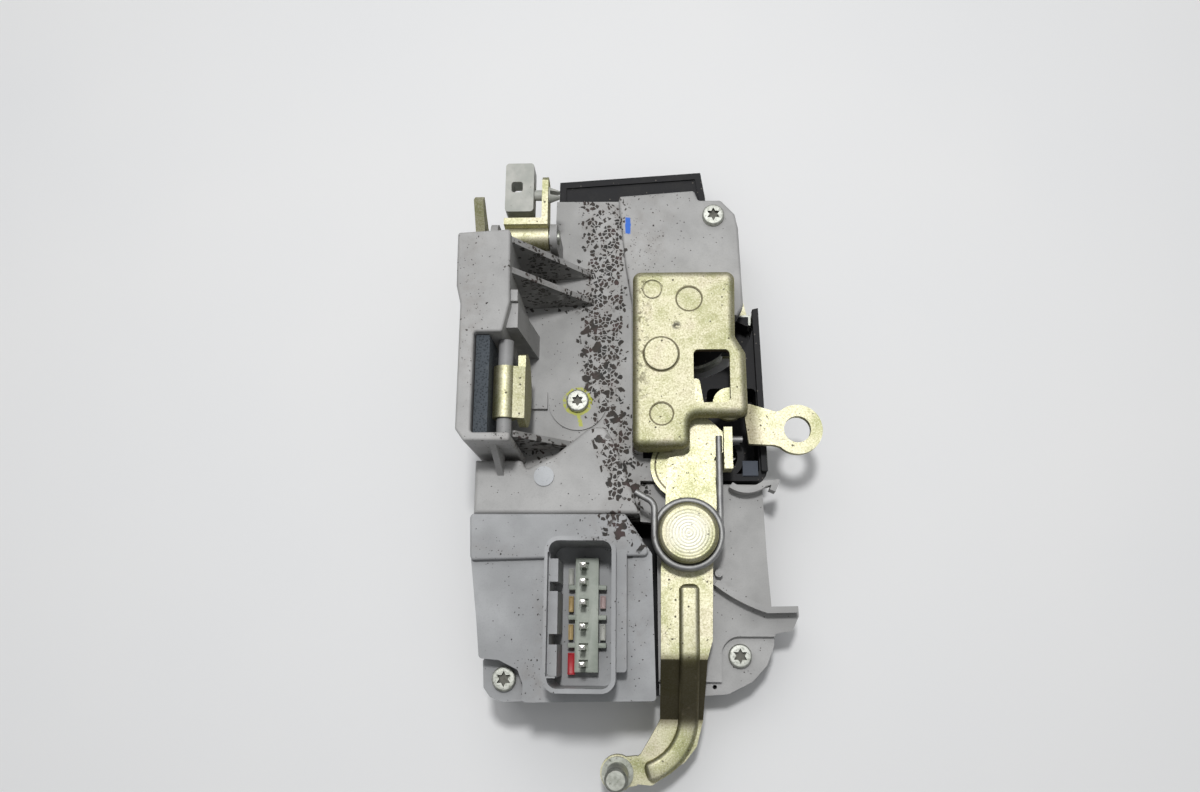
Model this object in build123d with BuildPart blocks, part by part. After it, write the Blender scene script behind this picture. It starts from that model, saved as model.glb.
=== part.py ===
"""Door latch actuator: a claw-and-pawl door latch with its lock motor housing.

Frame, in millimetres: +Z away from the striker plate, +Y up the door, +X towards the
striker mouth. The origin is on the outer face of the striker plate, on the axis of the
large middle rivet. The part rests on Z = 0. The claw is drawn in its open position.
"""
from build123d import *
import os
from math import cos, sin, radians, hypot, atan2, degrees

os.makedirs("parts", exist_ok=True)

# ---- heights above the outer face of the striker plate ----
plate_t = 2.5  # striker plate thickness
claw_floor_z = 6.5  # inside floor of the claw housing
claw_gap = 0.5  # running gap under and over the claw
claw_h = 8.0  # claw with its plastic jacket
claw_wall_top_z = 17.3  # upper edge of the claw housing
base_t = 2.5  # thickness of the grey base sheet
base_z = 20.0  # visible face of the grey base sheet
casing_z = 17.0  # visible face of the lower right casing
lug_z = 15.0  # face of the lower right screw lug
panel_z = 24.0  # raised panel around the latch cover
cover_top_z = 33.0  # outer face of the latch cover
plateau_z = 34.0  # motor end of the grey housing
strip_z = 36.0  # raised strip across the motor cover
tower_z = 54.5  # top of the key tower
socket_z = 46.0  # rim of the plug socket
split_z = 12.0  # seam between the rear cover and the grey housing

# ---- sheet metal and plastic walls ----
sheet_t = 2.3  # levers and latch cover
wall = 2.0  # moulded walls
gap = 0.3  # seating gap between bodies
fit = 0.05  # radial clearance of running fits
screw_fit = 0.1  # radial clearance of screws in their holes

# ---- rivet axes in plan ----
claw_xy = (7.9, 16.2)
pawl_xy = (0.0, -16.9)
claw_pin_r = 3.4
pawl_pin_r = 3.0
middle_pin_r = 3.0
middle_head_r = 4.8

# ---- striker mouth ----
mouth_y = 2.5  # centre line of the striker's path
mouth_w = 11.0
mouth_end_x = 6.2  # blind end
mouth_top_z = 16.3
buffer_t = 2.4

# ---- claw and pawl, seen from +Z ----
claw_r = 19.0  # sliding edge that the pawl rides on
half_latch_r = 17.4
full_latch_r = 15.6
claw_hub_r = 9.0
throat_r = 14.2  # pivot to the middle of the throat
throat_angle = -25.0
throat_half = 5.2
jacket_t = 0.9
pawl_hub_r = 6.0
pawl_angle = 200.4  # where the pawl meets the claw, about the claw's pivot
pawl_lug_xy = (3.3, -6.2)
pawl_lug_r = 1.6

# ---- release lever ----
pivot_xy = (6.9, -49.3)
pivot_shank_r = 4.0
pivot_disc_r = 8.1
pivot_boss_r = 7.2
lever_z = 24.7  # upper face of the release lever
lever_low_z = 14.3  # upper face beyond the joggle
joggle_y = (-82.0, -98.0)
bead_h = 1.2
stud_xy = (-12.3, -111.9)
stud_flange_r = 4.7
stud_r = 3.0
stud_top_z = 30.0
wire_r = 0.9
coil_r = 9.0
bend_y = -42.8
left_tail = 4.2
coil_turns = 2.5

# ---- inside release lever ----
arm_z = 28.0
eye_xy = (37.4, -20.3)
eye_outer_r = 6.9
eye_hole_r = 3.7

# ---- plug socket ----
socket_x = (-30.0, -11.9)
socket_y = (-90.0, -51.6)
socket_wall = 1.1
socket_floor_z = 26.0
socket_corner_r = 3.6
terminal_xy = (-20.8, -70.7)
pin_pitch = (4.2, 5.3, 6.1, 5.3, 4.2)

# ---- screws ----
screw_head_r = 3.2
screw_head_h = 1.8
screw_shank_r = 1.5
screw_len = 11.0
centre_screw_xy = (-23.9, -10.5)
panel_screw_xy = (15.7, 44.9)
cover_screw_xy = (-41.9, -87.3)
lug_screw_xy = (21.2, -81.1)
plate_screw_xy = ((-8.0, 31.0), (19.5, 31.5), (17.0, -26.0))
m6_core_r = 2.5
m6_collar_r = 4.6
boss_wall = 2.2  # moulded wall round a screw's shank

# ---- lock drive, behind the grey housing ----
motor_xz = (-23.6, 15.0)
motor_y = (-89.5, -64.5)
motor_size = (20.0, 15.4)
worm_r = 3.4
worm_y = (-62.5, -49.5)
wheel_r = 8.0
wheel_teeth = 24
wheel_t = 5.0
wheel_pin_r = 2.5
crank_r = 5.0
crank_pin_r = 1.4
slider_x = (-48.0, -43.8)
slider_y = (-60.0, 20.0)
slider_z = 9.0
slider_t = 2.4

# ---- key lever and lock lever ----
key_axis_yz = (-13.0, 38.0)  # key cylinder's tail
key_bore_r = 6.0
key_shaft_xz = (-41.4, 45.5)
key_shaft_r = 2.0
lock_axis_yz = (33.2, 37.0)
lock_shaft_r = 2.0
lock_shaft_x = (-52.0, -28.4)
bracket_t = 1.7
bracket_x = (-43.6, -31.4)
clip_pin_yz = (45.0, 39.6)  # rod clip's pin in the bracket


def polar(centre, radius, angle):
    """Point at an angle in degrees and a radius from a centre."""
    return (centre[0] + radius * cos(radians(angle)), centre[1] + radius * sin(radians(angle)))


def save(piece, name):
    """Label a finished sub-part and write it."""
    piece.part.label = name
    export_step(piece.part, f"parts/{name}.step")


def outline(points, corner=0.0, loose=None):
    """Closed outline, its corners rounded except those listed in loose."""
    with BuildSketch(mode=Mode.PRIVATE) as flat:
        with BuildLine():
            Polyline(*points, close=True)
        make_face()
        if corner:
            rounded = [v for v in flat.vertices() if not any(
                hypot(v.X - points[i][0], v.Y - points[i][1]) < 1e-6 for i in (loose or ()))]
            fillet(rounded, corner)
    return flat.sketch


def pie(centre, radius, start, end):
    """Sector of a disc between two angles."""
    with BuildSketch(mode=Mode.PRIVATE) as flat:
        with BuildLine():
            Line(centre, polar(centre, radius, start))
            CenterArc(centre, radius, start, end - start)
            Line(polar(centre, radius, end), centre)
        make_face()
    return flat.sketch


# ---------------------------------------------------------------- striker plate
plate_points = [(-23.0, -31.5), (28.6, -31.5), (28.0, 17.0), (23.0, 37.0), (-13.0, 37.0), (-23.0, 24.0)]
mouth_far_x = 34.0  # the mouth is cut clear through the right edge


def mouth_shape(width, end_x):
    """Striker mouth in plan, open towards +X."""
    with BuildSketch(mode=Mode.PRIVATE) as flat:
        with Locations(((end_x + mouth_far_x) / 2, mouth_y)):
            Rectangle(mouth_far_x - end_x, width)
        fillet(flat.vertices().group_by(Axis.X)[0], 2.0)
    return flat.sketch


with BuildPart() as striker_plate:
    with BuildSketch():
        add(outline(plate_points, 4.0))
        add(mouth_shape(mouth_w, mouth_end_x), mode=Mode.SUBTRACT)
        with Locations(claw_xy):
            Circle(claw_pin_r, mode=Mode.SUBTRACT)
        with Locations(pawl_xy):
            Circle(pawl_pin_r, mode=Mode.SUBTRACT)
    extrude(amount=plate_t)
    with BuildSketch(Plane.XY.offset(plate_t)):
        with Locations(*plate_screw_xy):
            Circle(m6_collar_r)
    extrude(amount=claw_floor_z - plate_t - gap)
    with Locations(*plate_screw_xy):
        Hole(m6_core_r)
save(striker_plate, "striker_plate")

# ---------------------------------------------------------------- claw housing
housing_points = [(-27.5, -33.0), (29.9, -33.0), (28.5, 17.6), (24.0, 18.4),
                  (23.4, 38.5), (-14.0, 38.5), (-27.5, 25.0)]
sweep_gap = 0.5  # round the claw's sweep
right_wall_t = 1.7
right_wall_low = (29.9, -30.5)
right_wall_high = (28.5, 17.6)
right_wall_top_z = base_z
pawl_room = [(-9.0, -24.0), (8.5, -24.0), (8.5, 0.0), (-8.0, 16.0),
             (-23.5, 12.0), (-23.5, 3.0), (-12.0, -14.0)]
cellar = [(11.0, -31.0), (27.8, -31.0), (27.4, -6.0), (13.5, -6.0)]
block_xy = (25.2, -29.5)  # stop block standing in the cellar
block_plan = (4.3, 4.2)
block_top_z = 18.0

with BuildPart() as claw_housing:
    with BuildSketch(Plane.XY.offset(plate_t)):
        add(outline(housing_points, 2.5, loose=(2, 3)))
    extrude(amount=claw_wall_top_z - plate_t)
    # right-hand wall, standing up to the base sheet's face
    with BuildSketch(Plane.XY.offset(claw_wall_top_z)):
        with BuildLine():
            Polyline(right_wall_low, right_wall_high,
                     (right_wall_high[0] - right_wall_t, right_wall_high[1] - 0.4),
                     (right_wall_low[0] - right_wall_t, right_wall_low[1]), close=True)
        make_face()
    extrude(amount=right_wall_top_z - claw_wall_top_z)
    # room for the claw and the pawl
    with BuildSketch(Plane.XY.offset(claw_floor_z)):
        with Locations(claw_xy):
            Circle(claw_r + sweep_gap)
        add(outline([(22.6, 18.4), (40.0, 18.4), (40.0, 45.0), (22.6, 45.0)]), mode=Mode.SUBTRACT)
        add(outline(pawl_room, 2.0))
    extrude(amount=claw_wall_top_z - claw_floor_z, mode=Mode.SUBTRACT)
    # open cellar below the mouth, dark in plan
    with BuildSketch(Plane.XY.offset(claw_floor_z)):
        add(outline(cellar, 1.5))
        with Locations(plate_screw_xy[2]):
            Circle(m6_collar_r + wall, mode=Mode.SUBTRACT)
    extrude(amount=claw_wall_top_z - claw_floor_z, mode=Mode.SUBTRACT)
    with BuildSketch(Plane.XY.offset(claw_floor_z)):
        with Locations(block_xy):
            Rectangle(*block_plan)
    extrude(amount=block_top_z - claw_floor_z)
    # striker mouth with the buffer's pocket at its blind end
    with BuildSketch(Plane.XY.offset(plate_t)):
        add(mouth_shape(mouth_w, mouth_end_x))
        with Locations((mouth_end_x - buffer_t / 2 + 0.5, mouth_y)):
            Rectangle(buffer_t + 1.0, mouth_w - 4.0)
    extrude(amount=mouth_top_z - plate_t, mode=Mode.SUBTRACT)
    with BuildSketch(Plane.XY.offset(plate_t)):
        with Locations(*plate_screw_xy):
            Circle(m6_collar_r + screw_fit)
        with Locations(claw_xy):
            Circle(claw_pin_r + screw_fit)
        with Locations(pawl_xy):
            Circle(pawl_pin_r + screw_fit)
        with Locations(centre_screw_xy):
            Circle(screw_shank_r + screw_fit)
    extrude(amount=claw_wall_top_z - plate_t, mode=Mode.SUBTRACT)
save(claw_housing, "claw_housing")

with BuildPart() as striker_buffer:
    with BuildSketch(Plane.XY.offset(plate_t)):
        with Locations((mouth_end_x - buffer_t / 2 + 0.4, mouth_y)):
            Rectangle(buffer_t, mouth_w - 4.0)
    extrude(amount=claw_floor_z - plate_t)
    fillet(striker_buffer.edges().filter_by(Axis.Z).group_by(Axis.X)[-1], 0.8)
save(striker_buffer, "striker_buffer")

# ---------------------------------------------------------------- claw
claw_z = claw_floor_z + claw_gap
steel_inset = 1.0  # jacket above and below the steel
throat_xy = polar(claw_xy, throat_r, throat_angle)
mouth_lip_xy = polar(claw_xy, 32.0, throat_angle)


def claw_notch(half):
    """The claw's mouth, running outwards from the throat."""
    with BuildSketch(mode=Mode.PRIVATE) as flat:
        with BuildLine():
            path = Line(throat_xy, mouth_lip_xy)
        SlotCenterToCenter(32.0 - throat_r, 2 * half, rotation=throat_angle, mode=Mode.PRIVATE)
        middle = (path @ 0.5)
        with Locations((middle.X, middle.Y)):
            SlotCenterToCenter(32.0 - throat_r, 2 * half, rotation=throat_angle)
    return flat.sketch


with BuildPart() as claw:
    with BuildSketch(Plane.XY.offset(claw_z + steel_inset)):
        with Locations(claw_xy):
            Circle(claw_hub_r)
        add(pie(claw_xy, claw_r, 150, 225))
        add(pie(claw_xy, half_latch_r, 224, 250))
        add(pie(claw_xy, full_latch_r, 249, 336))
        add(pie(claw_xy, claw_r, 334, 364))
        add(pie(claw_xy, throat_r, 0, 28))
        add(claw_notch(throat_half + jacket_t), mode=Mode.SUBTRACT)
        with Locations(claw_xy):
            Circle(claw_pin_r + fit, mode=Mode.SUBTRACT)
    extrude(amount=claw_h - 2 * steel_inset)
save(claw, "claw")

with BuildPart() as claw_jacket:
    with BuildSketch(Plane.XY.offset(claw_z)):
        with Locations(claw_xy):
            Circle(claw_hub_r - 1.0)
        add(pie(claw_xy, full_latch_r - 0.8, 165, 336))
        add(pie(claw_xy, claw_r - 0.8, 334, 361))
        add(pie(claw_xy, throat_r - 1.2, 0, 26))
        add(claw_notch(throat_half), mode=Mode.SUBTRACT)
        with Locations(claw_xy):
            Circle(claw_pin_r + fit, mode=Mode.SUBTRACT)
    extrude(amount=claw_h)
    add(claw.part, mode=Mode.SUBTRACT)
save(claw_jacket, "claw_jacket")

# ---------------------------------------------------------------- pawl
pawl_tip_xy = polar(claw_xy, claw_r, pawl_angle)
strut_len = hypot(pawl_tip_xy[0] - pawl_xy[0], pawl_tip_xy[1] - pawl_xy[1])
strut_angle = degrees(atan2(pawl_tip_xy[1] - pawl_xy[1], pawl_tip_xy[0] - pawl_xy[0]))
strut_right = 2.4  # edge nearer the middle rivet
strut_left = 4.6
tip_beyond = 1.5


def beside(along, side):
    """Point along the pawl's strut and to its left."""
    base = polar(pawl_xy, along, strut_angle)
    return polar(base, side, strut_angle + 90)


with BuildPart() as pawl:
    with BuildSketch(Plane.XY.offset(claw_z)):
        with Locations(pawl_xy):
            Circle(pawl_hub_r)
        add(outline([beside(0, strut_left), beside(0, -strut_right),
                     beside(strut_len + tip_beyond, -strut_right),
                     beside(strut_len + tip_beyond, strut_left)]))
        with BuildLine():
            ear = Line(pawl_xy, pawl_lug_xy)
        with Locations(((pawl_xy[0] + pawl_lug_xy[0]) / 2, (pawl_xy[1] + pawl_lug_xy[1]) / 2)):
            SlotCenterToCenter(ear.length, 4.6,
                               rotation=degrees(atan2(pawl_lug_xy[1] - pawl_xy[1], pawl_lug_xy[0])))
        with Locations(claw_xy):
            Circle(claw_r + gap, mode=Mode.SUBTRACT)
        with Locations(pawl_xy):
            Circle(pawl_pin_r + fit, mode=Mode.SUBTRACT)
    extrude(amount=claw_h)
    with BuildSketch(Plane.XY.offset(claw_z + claw_h)):
        with Locations(pawl_lug_xy):
            Circle(pawl_lug_r)
    extrude(amount=lever_z + 0.5 - claw_z - claw_h)
save(pawl, "pawl")

# ---------------------------------------------------------------- latch cover and its rivets
cover_points = [(-7.9, 24.7), (20.9, 24.6), (20.6, 5.4), (23.4, 0.6), (23.7, -17.2), (7.7, -17.2),
                (7.7, -26.0), (-7.9, -26.0)]
window_size = (10.0, 15.1)
window_xy = (13.9, -6.25)
coin_xy = (-2.4, 18.9)
coin_r = 3.0
recess = 0.4
cover_roll = 2.2
inner_head_z = cover_top_z - sheet_t
lever_door = [(3.0, -30.0), (30.0, -30.0), (30.0, -6.0), (16.0, -6.0), (16.0, -14.5), (3.0, -14.5)]

with BuildPart() as latch_cover:
    with BuildSketch(Plane.XY.offset(panel_z)):
        add(outline(cover_points, 2.4))
    extrude(amount=cover_top_z - panel_z)
    fillet(latch_cover.faces().sort_by(Axis.Z)[-1].edges(), cover_roll)
    with BuildSketch(Plane.XY.offset(panel_z)):
        add(outline(cover_points, 2.4))
        offset(amount=-sheet_t, mode=Mode.REPLACE)
    extrude(amount=cover_top_z - sheet_t - panel_z, mode=Mode.SUBTRACT)
    # door for the levers, below the lower edge and the right-hand wall
    with BuildSketch(Plane.XY.offset(panel_z)):
        add(outline(lever_door))
    extrude(amount=arm_z + gap - panel_z, mode=Mode.SUBTRACT)
    with BuildSketch(Plane.XY.offset(cover_top_z)):
        with Locations(window_xy):
            RectangleRounded(*window_size, 1.4)
        with Locations(claw_xy, (0, 0)):
            Circle(claw_pin_r)
        with Locations(pawl_xy):
            Circle(pawl_pin_r)
    extrude(amount=-sheet_t, mode=Mode.SUBTRACT)
    # blank coined disc
    with BuildSketch(Plane.XY.offset(cover_top_z)):
        with Locations(coin_xy):
            Circle(coin_r)
            Circle(coin_r - 0.5, mode=Mode.SUBTRACT)
    extrude(amount=-recess, mode=Mode.SUBTRACT)
save(latch_cover, "latch_cover")

arm_under_z = arm_z - sheet_t
coupling_t = 1.4  # half-moon plate below the release lever
coupling_z = lever_z - sheet_t - gap - coupling_t
with BuildPart() as claw_pin:
    with BuildSketch():
        with Locations(claw_xy):
            Circle(claw_pin_r)
    extrude(amount=cover_top_z - recess)
    with BuildSketch(Plane.XY.offset(claw_z + claw_h + gap)):
        with Locations(claw_xy):
            Circle(claw_pin_r + 1.4)
    extrude(amount=inner_head_z - claw_z - claw_h - gap)
save(claw_pin, "claw_pin")

# the middle rivet is also the post of the pawl spring, and ends above the claw
post_end_z = 18.0
with BuildPart() as middle_rivet:
    with BuildSketch(Plane.XY.offset(post_end_z)):
        Circle(middle_pin_r)
    extrude(amount=inner_head_z - post_end_z)
    with BuildSketch(Plane.XY.offset(inner_head_z)):
        Circle(claw_pin_r)
    extrude(amount=sheet_t)
    with BuildSketch(Plane.XY.offset(cover_top_z)):
        Circle(middle_head_r)
    extrude(amount=0.7)
    fillet(middle_rivet.edges().sort_by(Axis.Z)[-1], 0.4)
save(middle_rivet, "middle_rivet")

with BuildPart() as pawl_pin:
    with BuildSketch():
        with Locations(pawl_xy):
            Circle(pawl_pin_r)
    extrude(amount=cover_top_z - recess)
    with BuildSketch(Plane.XY.offset(claw_z + claw_h + gap)):
        with Locations(pawl_xy):
            Circle(pawl_pin_r + 1.0)
    extrude(amount=coupling_z - gap - claw_z - claw_h - gap)
    with BuildSketch(Plane.XY.offset(lever_z + gap)):
        with Locations(pawl_xy):
            Circle(pawl_pin_r + 1.0)
    extrude(amount=arm_under_z - lever_z - 2 * gap)
    with BuildSketch(Plane.XY.offset(arm_z + gap)):
        with Locations(pawl_xy):
            Circle(pawl_pin_r + 1.0)
    extrude(amount=inner_head_z - arm_z - gap)
save(pawl_pin, "pawl_pin")

# ---------------------------------------------------------------- inside release lever
with BuildPart() as inside_release_lever:
    with BuildSketch(Plane.XY.offset(arm_under_z)):
        with Locations(pawl_xy):
            Circle(5.2)
        with BuildLine():
            Polyline((0.0, -21.5), (7.0, -20.5), (9.0, -16.6), (23.0, -16.6), (24.0, -24.4), (30.8, -24.7),
                     (34.0, -25.6), eye_xy, (34.0, -14.6), (31.8, -15.4), (24.5, -13.2), (14.0, -13.4),
                     (4.0, -13.8), (0.0, -12.0), close=True)
        make_face()
        with Locations((18.9, -13.0)):
            Circle(4.6)
        with Locations(eye_xy):
            Circle(eye_outer_r)
            Circle(eye_hole_r, mode=Mode.SUBTRACT)
        with Locations(pawl_xy):
            Circle(pawl_pin_r + fit, mode=Mode.SUBTRACT)
    extrude(amount=sheet_t)
save(inside_release_lever, "inside_release_lever")

# ---------------------------------------------------------------- release lever
lever_points = [(8.0, -14.0), (8.3, -5.8), (10.7, -3.8), (12.6, -16.0), (16.6, -19.8), (17.6, -21.0),
                (17.6, -25.8), (14.6, -27.6), (15.1, -40.4), (13.7, -58.5), (13.3, -76.9), (11.9, -81.8),
                (10.9, -98.2), (9.1, -104.9), (5.9, -108.9), (-3.0, -115.0), (-8.5, -114.6), (-7.7, -108.2),
                (-6.1, -107.1), (-3.0, -102.1), (-0.8, -98.2), (-0.5, -77.0), (-0.4, -58.6),
                (1.0, -40.4), (1.5, -27.8), (7.9, -26.4)]
flange_t = sheet_t
flange_x = pivot_xy[0] + coil_r + wire_r + gap
flange_y = (-31.4, -19.8)
flange_top_z = 29.0
stud_pin_z = lever_z - sheet_t / 2
stud_pin_r = 0.95
lever_far = 60.0  # past both sides of the lever, for cutting its side view


def side_band(lower, upper):
    """Side view of the joggled lever, Y across and Z up, between two offsets from its face."""
    return outline([(0.0, lever_z + lower), (joggle_y[0], lever_z + lower),
                    (joggle_y[1], lever_low_z + lower), (-120.0, lever_low_z + lower),
                    (-120.0, lever_low_z + upper), (joggle_y[1], lever_low_z + upper),
                    (joggle_y[0], lever_z + upper), (0.0, lever_z + upper)])


with BuildPart() as bead:
    with BuildSketch():
        with BuildLine():
            l1 = Line((7.2, -64.5), (6.9, -97.0))
            TangentArc(l1 @ 1, (-3.5, -111.5), tangent=l1 % 1)
        trace(line_width=4.6)
    extrude(amount=tower_z)
    with BuildSketch(Plane.YZ):
        add(side_band(bead_h - sheet_t, bead_h))
    extrude(amount=lever_far, both=True, mode=Mode.INTERSECT)

with BuildPart() as release_lever:
    with BuildSketch():
        add(outline(lever_points, 1.2))
    extrude(amount=tower_z)
    with BuildSketch(Plane.YZ):
        add(side_band(-sheet_t, 0.0))
    extrude(amount=lever_far, both=True, mode=Mode.INTERSECT)
    add(bead.part)
    with BuildSketch(Plane.XY.offset(lever_low_z - sheet_t)):
        with Locations(stud_xy):
            Circle(stud_flange_r)
        with BuildLine():
            Polyline((-12.0, -108.0), (-7.0, -107.5), (-7.0, -115.0), (-12.3, -116.0), close=True)
        make_face()
    extrude(amount=sheet_t)
    # turned-up flange for the spring and the transfer stud
    with BuildSketch(Plane.XY.offset(lever_z - sheet_t)):
        with BuildLine():
            Polyline((flange_x, flange_y[1]), (flange_x + flange_t, flange_y[1]),
                     (flange_x + flange_t, flange_y[0]), (flange_x, flange_y[0]), close=True)
        make_face()
    extrude(amount=flange_top_z - lever_z + sheet_t)
    with Locations(pivot_xy):
        Hole(pivot_shank_r + fit)
    with Locations(stud_xy):
        Hole(stud_r - 0.6)
save(release_lever, "release_lever")

with BuildPart() as lever_stud:
    with BuildSketch(Plane.XY.offset(lever_low_z - sheet_t)):
        with Locations(stud_xy):
            Circle(stud_r - 0.6)
    extrude(amount=sheet_t)
    with BuildSketch(Plane.XY.offset(lever_low_z)):
        with Locations(stud_xy):
            Circle(stud_flange_r - 0.4)
    extrude(amount=1.4)
    with BuildSketch(Plane.XY.offset(lever_low_z + 1.4)):
        with Locations(stud_xy):
            Circle(stud_r)
    extrude(amount=stud_top_z - lever_low_z - 1.4)
    chamfer(lever_stud.edges().sort_by(Axis.Z)[-1], 0.6)
save(lever_stud, "lever_stud")

with BuildPart() as transfer_pin:
    with BuildSketch(Plane.YZ.offset(flange_x + flange_t)):
        with Locations((-22.3, stud_pin_z)):
            Circle(stud_pin_r)
    extrude(amount=3.2)
save(transfer_pin, "transfer_pin")

# coupling lever between the lock and the release lever
coupling_xy = (6.3, -29.5)
coupling_r = 9.4
coupling_pin_r = 2.5
with BuildPart() as coupling_lever:
    with BuildSketch(Plane.XY.offset(coupling_z)):
        with Locations(coupling_xy):
            Circle(coupling_r)
            Circle(coupling_pin_r + fit, mode=Mode.SUBTRACT)
    extrude(amount=coupling_t)
save(coupling_lever, "coupling_lever")

with BuildPart() as coupling_rivet:
    with BuildSketch(Plane.XY.offset(coupling_z - 0.6)):
        with Locations(coupling_xy):
            Circle(coupling_pin_r + 1.3)
    extrude(amount=0.5)
    with BuildSketch(Plane.XY.offset(coupling_z - 0.1)):
        with Locations(coupling_xy):
            Circle(coupling_pin_r)
    extrude(amount=lever_z - sheet_t - coupling_z + 0.1)
save(coupling_rivet, "coupling_rivet")

# ---------------------------------------------------------------- release pivot and its spring
boss_top_z = lever_z - sheet_t - gap
coil_z = lever_z + gap + wire_r
coil_pitch = 2 * wire_r + 0.1
disc_z = coil_z + coil_pitch * coil_turns + wire_r + gap
core_r = coil_r - wire_r - gap
with BuildPart() as release_pivot:
    with BuildSketch(Plane.XY.offset(split_z)):
        with Locations(pivot_xy):
            Circle(pivot_shank_r)
    extrude(amount=lever_z + gap - split_z)
    with BuildSketch(Plane.XY.offset(lever_z + gap)):
        with Locations(pivot_xy):
            Circle(core_r)
    extrude(amount=disc_z - lever_z - gap)
    with BuildSketch(Plane.XY.offset(disc_z)):
        with Locations(pivot_xy):
            Circle(pivot_disc_r)
    extrude(amount=2.2)
    fillet(release_pivot.edges().sort_by(Axis.Z)[-1], 1.5)
save(release_pivot, "release_pivot")

half_rise = coil_pitch / 2
bend_r = 3.0
bend_angle = 60.0
with BuildPart() as release_spring:
    # each half turn is a tilted half ring, so the wire climbs and stays smooth
    for i in range(int(2 * coil_turns)):
        side = 1 if i % 2 == 0 else -1
        start = (pivot_xy[0] + side * coil_r, pivot_xy[1], coil_z + i * half_rise)
        middle = (pivot_xy[0], pivot_xy[1], coil_z + (i + 0.5) * half_rise)
        with BuildSketch(Plane(origin=start, x_dir=(1, 0, 0), z_dir=(0, -side, 0))):
            Circle(wire_r)
        revolve(axis=Axis(middle, (-side * half_rise / 2, 0, -coil_r)), revolution_arc=180)
    # right leg, bearing on the lever's flange
    with BuildSketch(Plane(origin=(pivot_xy[0] + coil_r, pivot_xy[1], coil_z), x_dir=(1, 0, 0),
                           z_dir=(0, 1, 0))):
        Circle(wire_r)
    extrude(amount=flange_y[1] - 2.0 - pivot_xy[1])
    # left leg, bent over towards the plateau's edge
    coil_end_z = coil_z + 2 * coil_turns * half_rise
    left_x = pivot_xy[0] - coil_r
    with BuildSketch(Plane(origin=(left_x, pivot_xy[1], coil_end_z), x_dir=(1, 0, 0), z_dir=(0, 1, 0))):
        Circle(wire_r)
    extrude(amount=bend_y - pivot_xy[1])
    with BuildSketch(Plane(origin=(left_x, bend_y, coil_end_z), x_dir=(1, 0, 0), z_dir=(0, 1, 0))):
        Circle(wire_r)
    revolve(axis=Axis((left_x - bend_r, bend_y, coil_end_z), (0, 0, 1)), revolution_arc=bend_angle)
    bend_end = polar((left_x - bend_r, bend_y), bend_r, bend_angle)
    with BuildSketch(Plane(origin=(*bend_end, coil_end_z), x_dir=(0, 0, 1),
                           z_dir=(-sin(radians(bend_angle)), cos(radians(bend_angle)), 0))):
        Circle(wire_r)
    extrude(amount=left_tail)
save(release_spring, "release_spring")

# ---------------------------------------------------------------- grey housing
housing_left_x = -50.6
base_points = [(housing_left_x, -44.4), (housing_left_x, 40.0), (-31.3, 40.0), (-31.1, 52.0),
               (-12.2, 51.8), (10.2, 53.4), (11.4, 50.2), (18.0, 50.2), (22.1, 45.7), (23.0, 41.3),
               (23.9, 17.0), (22.0, 14.0), (22.0, -26.0), (14.0, -33.4), (-6.0, -33.4), (-6.0, -44.4)]
panel_points = [(-12.4, 51.8), (10.2, 53.4), (11.4, 50.2), (18.0, 50.2), (22.1, 45.7), (23.0, 41.3),
                (23.9, 17.0), (22.0, 14.0), (22.0, -26.0), (-8.2, -26.0), (-8.4, 19.0), (-10.3, 31.0)]
under_cover = [(-5.2, -27.0), (25.0, -27.0), (25.0, 14.2), (21.0, 14.2), (21.0, 22.0), (-5.2, 22.0)]
plateau_points = [(housing_left_x, -30.0), (-38.0, -30.0), (-36.7, -32.5), (-29.0, -28.6), (-19.5, -20.8),
                  (-15.4, -20.8), (-13.2, -24.5), (-10.0, -32.7), (-6.0, -44.4), (housing_left_x, -44.4)]
casing_points = [(-6.0, -33.8), (28.4, -34.1), (29.2, -55.0), (30.0, -67.8), (30.8, -75.9), (16.2, -75.9),
                 (16.0, -88.0), (-1.1, -88.0), (-1.4, -45.0), (-6.0, -44.6)]
casing_sharp = (0, 1, 2, 3, 4, 6, 7, 8, 9)  # all its corners but the one round the lug's screw
casing_corner = 5.0
lug_points = [(-1.2, -75.6), (30.8, -75.6), (30.6, -78.4), (28.6, -83.5), (24.5, -87.9), (17.9, -91.2),
              (11.6, -91.7), (-0.9, -91.7)]
tower_points = [(-54.0, 27.8), (-40.0, 28.6), (-39.6, 8.2), (-41.4, 0.2), (-48.7, 0.2), (-48.7, -26.4),
                (-38.6, -26.4), (-38.6, -28.6), (-50.4, -28.6), (-52.6, -25.5), (-52.6, 8.0), (-53.8, 13.0)]
tower_core = [(-51.6, 25.4), (-42.0, 25.6), (-41.8, 9.6), (-43.0, 2.6), (-50.4, 2.6), (-50.4, 8.0),
              (-51.6, 13.0)]
turn = 3.0  # the ribs lean this much round from the X axis
rib_t = 1.7
gussets = [((-40.2, 28.0), 20.0, 51.0), ((-40.2, 19.4), 20.6, 51.0), ((-39.0, -23.2), 14.5, 41.0)]
foot_gusset_x = -44.4
tongue_points = [(28.0, -67.9), (37.3, -67.9), (37.4, -70.4), (35.5, -74.3), (30.4, -75.2), (28.0, -75.0)]
rib_rise = 5.0  # curved ribs above the casing
drain_xy = (14.2, -89.4)
drain_r = 0.6
ring_r = 8.4  # round seat of the centre screw
ring_rise = 0.6
key_pad_xy = (-35.2, -10.3)
key_pad_size = (5.2, 5.0)
key_pad_rise = 1.6
peg_xy = (15.6, -59.0)
peg_r = 1.1
peg_rise = 3.0
ear_x = (-47.6, -31.0)
ear_t = 2.0
ear_r = 3.8


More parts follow.
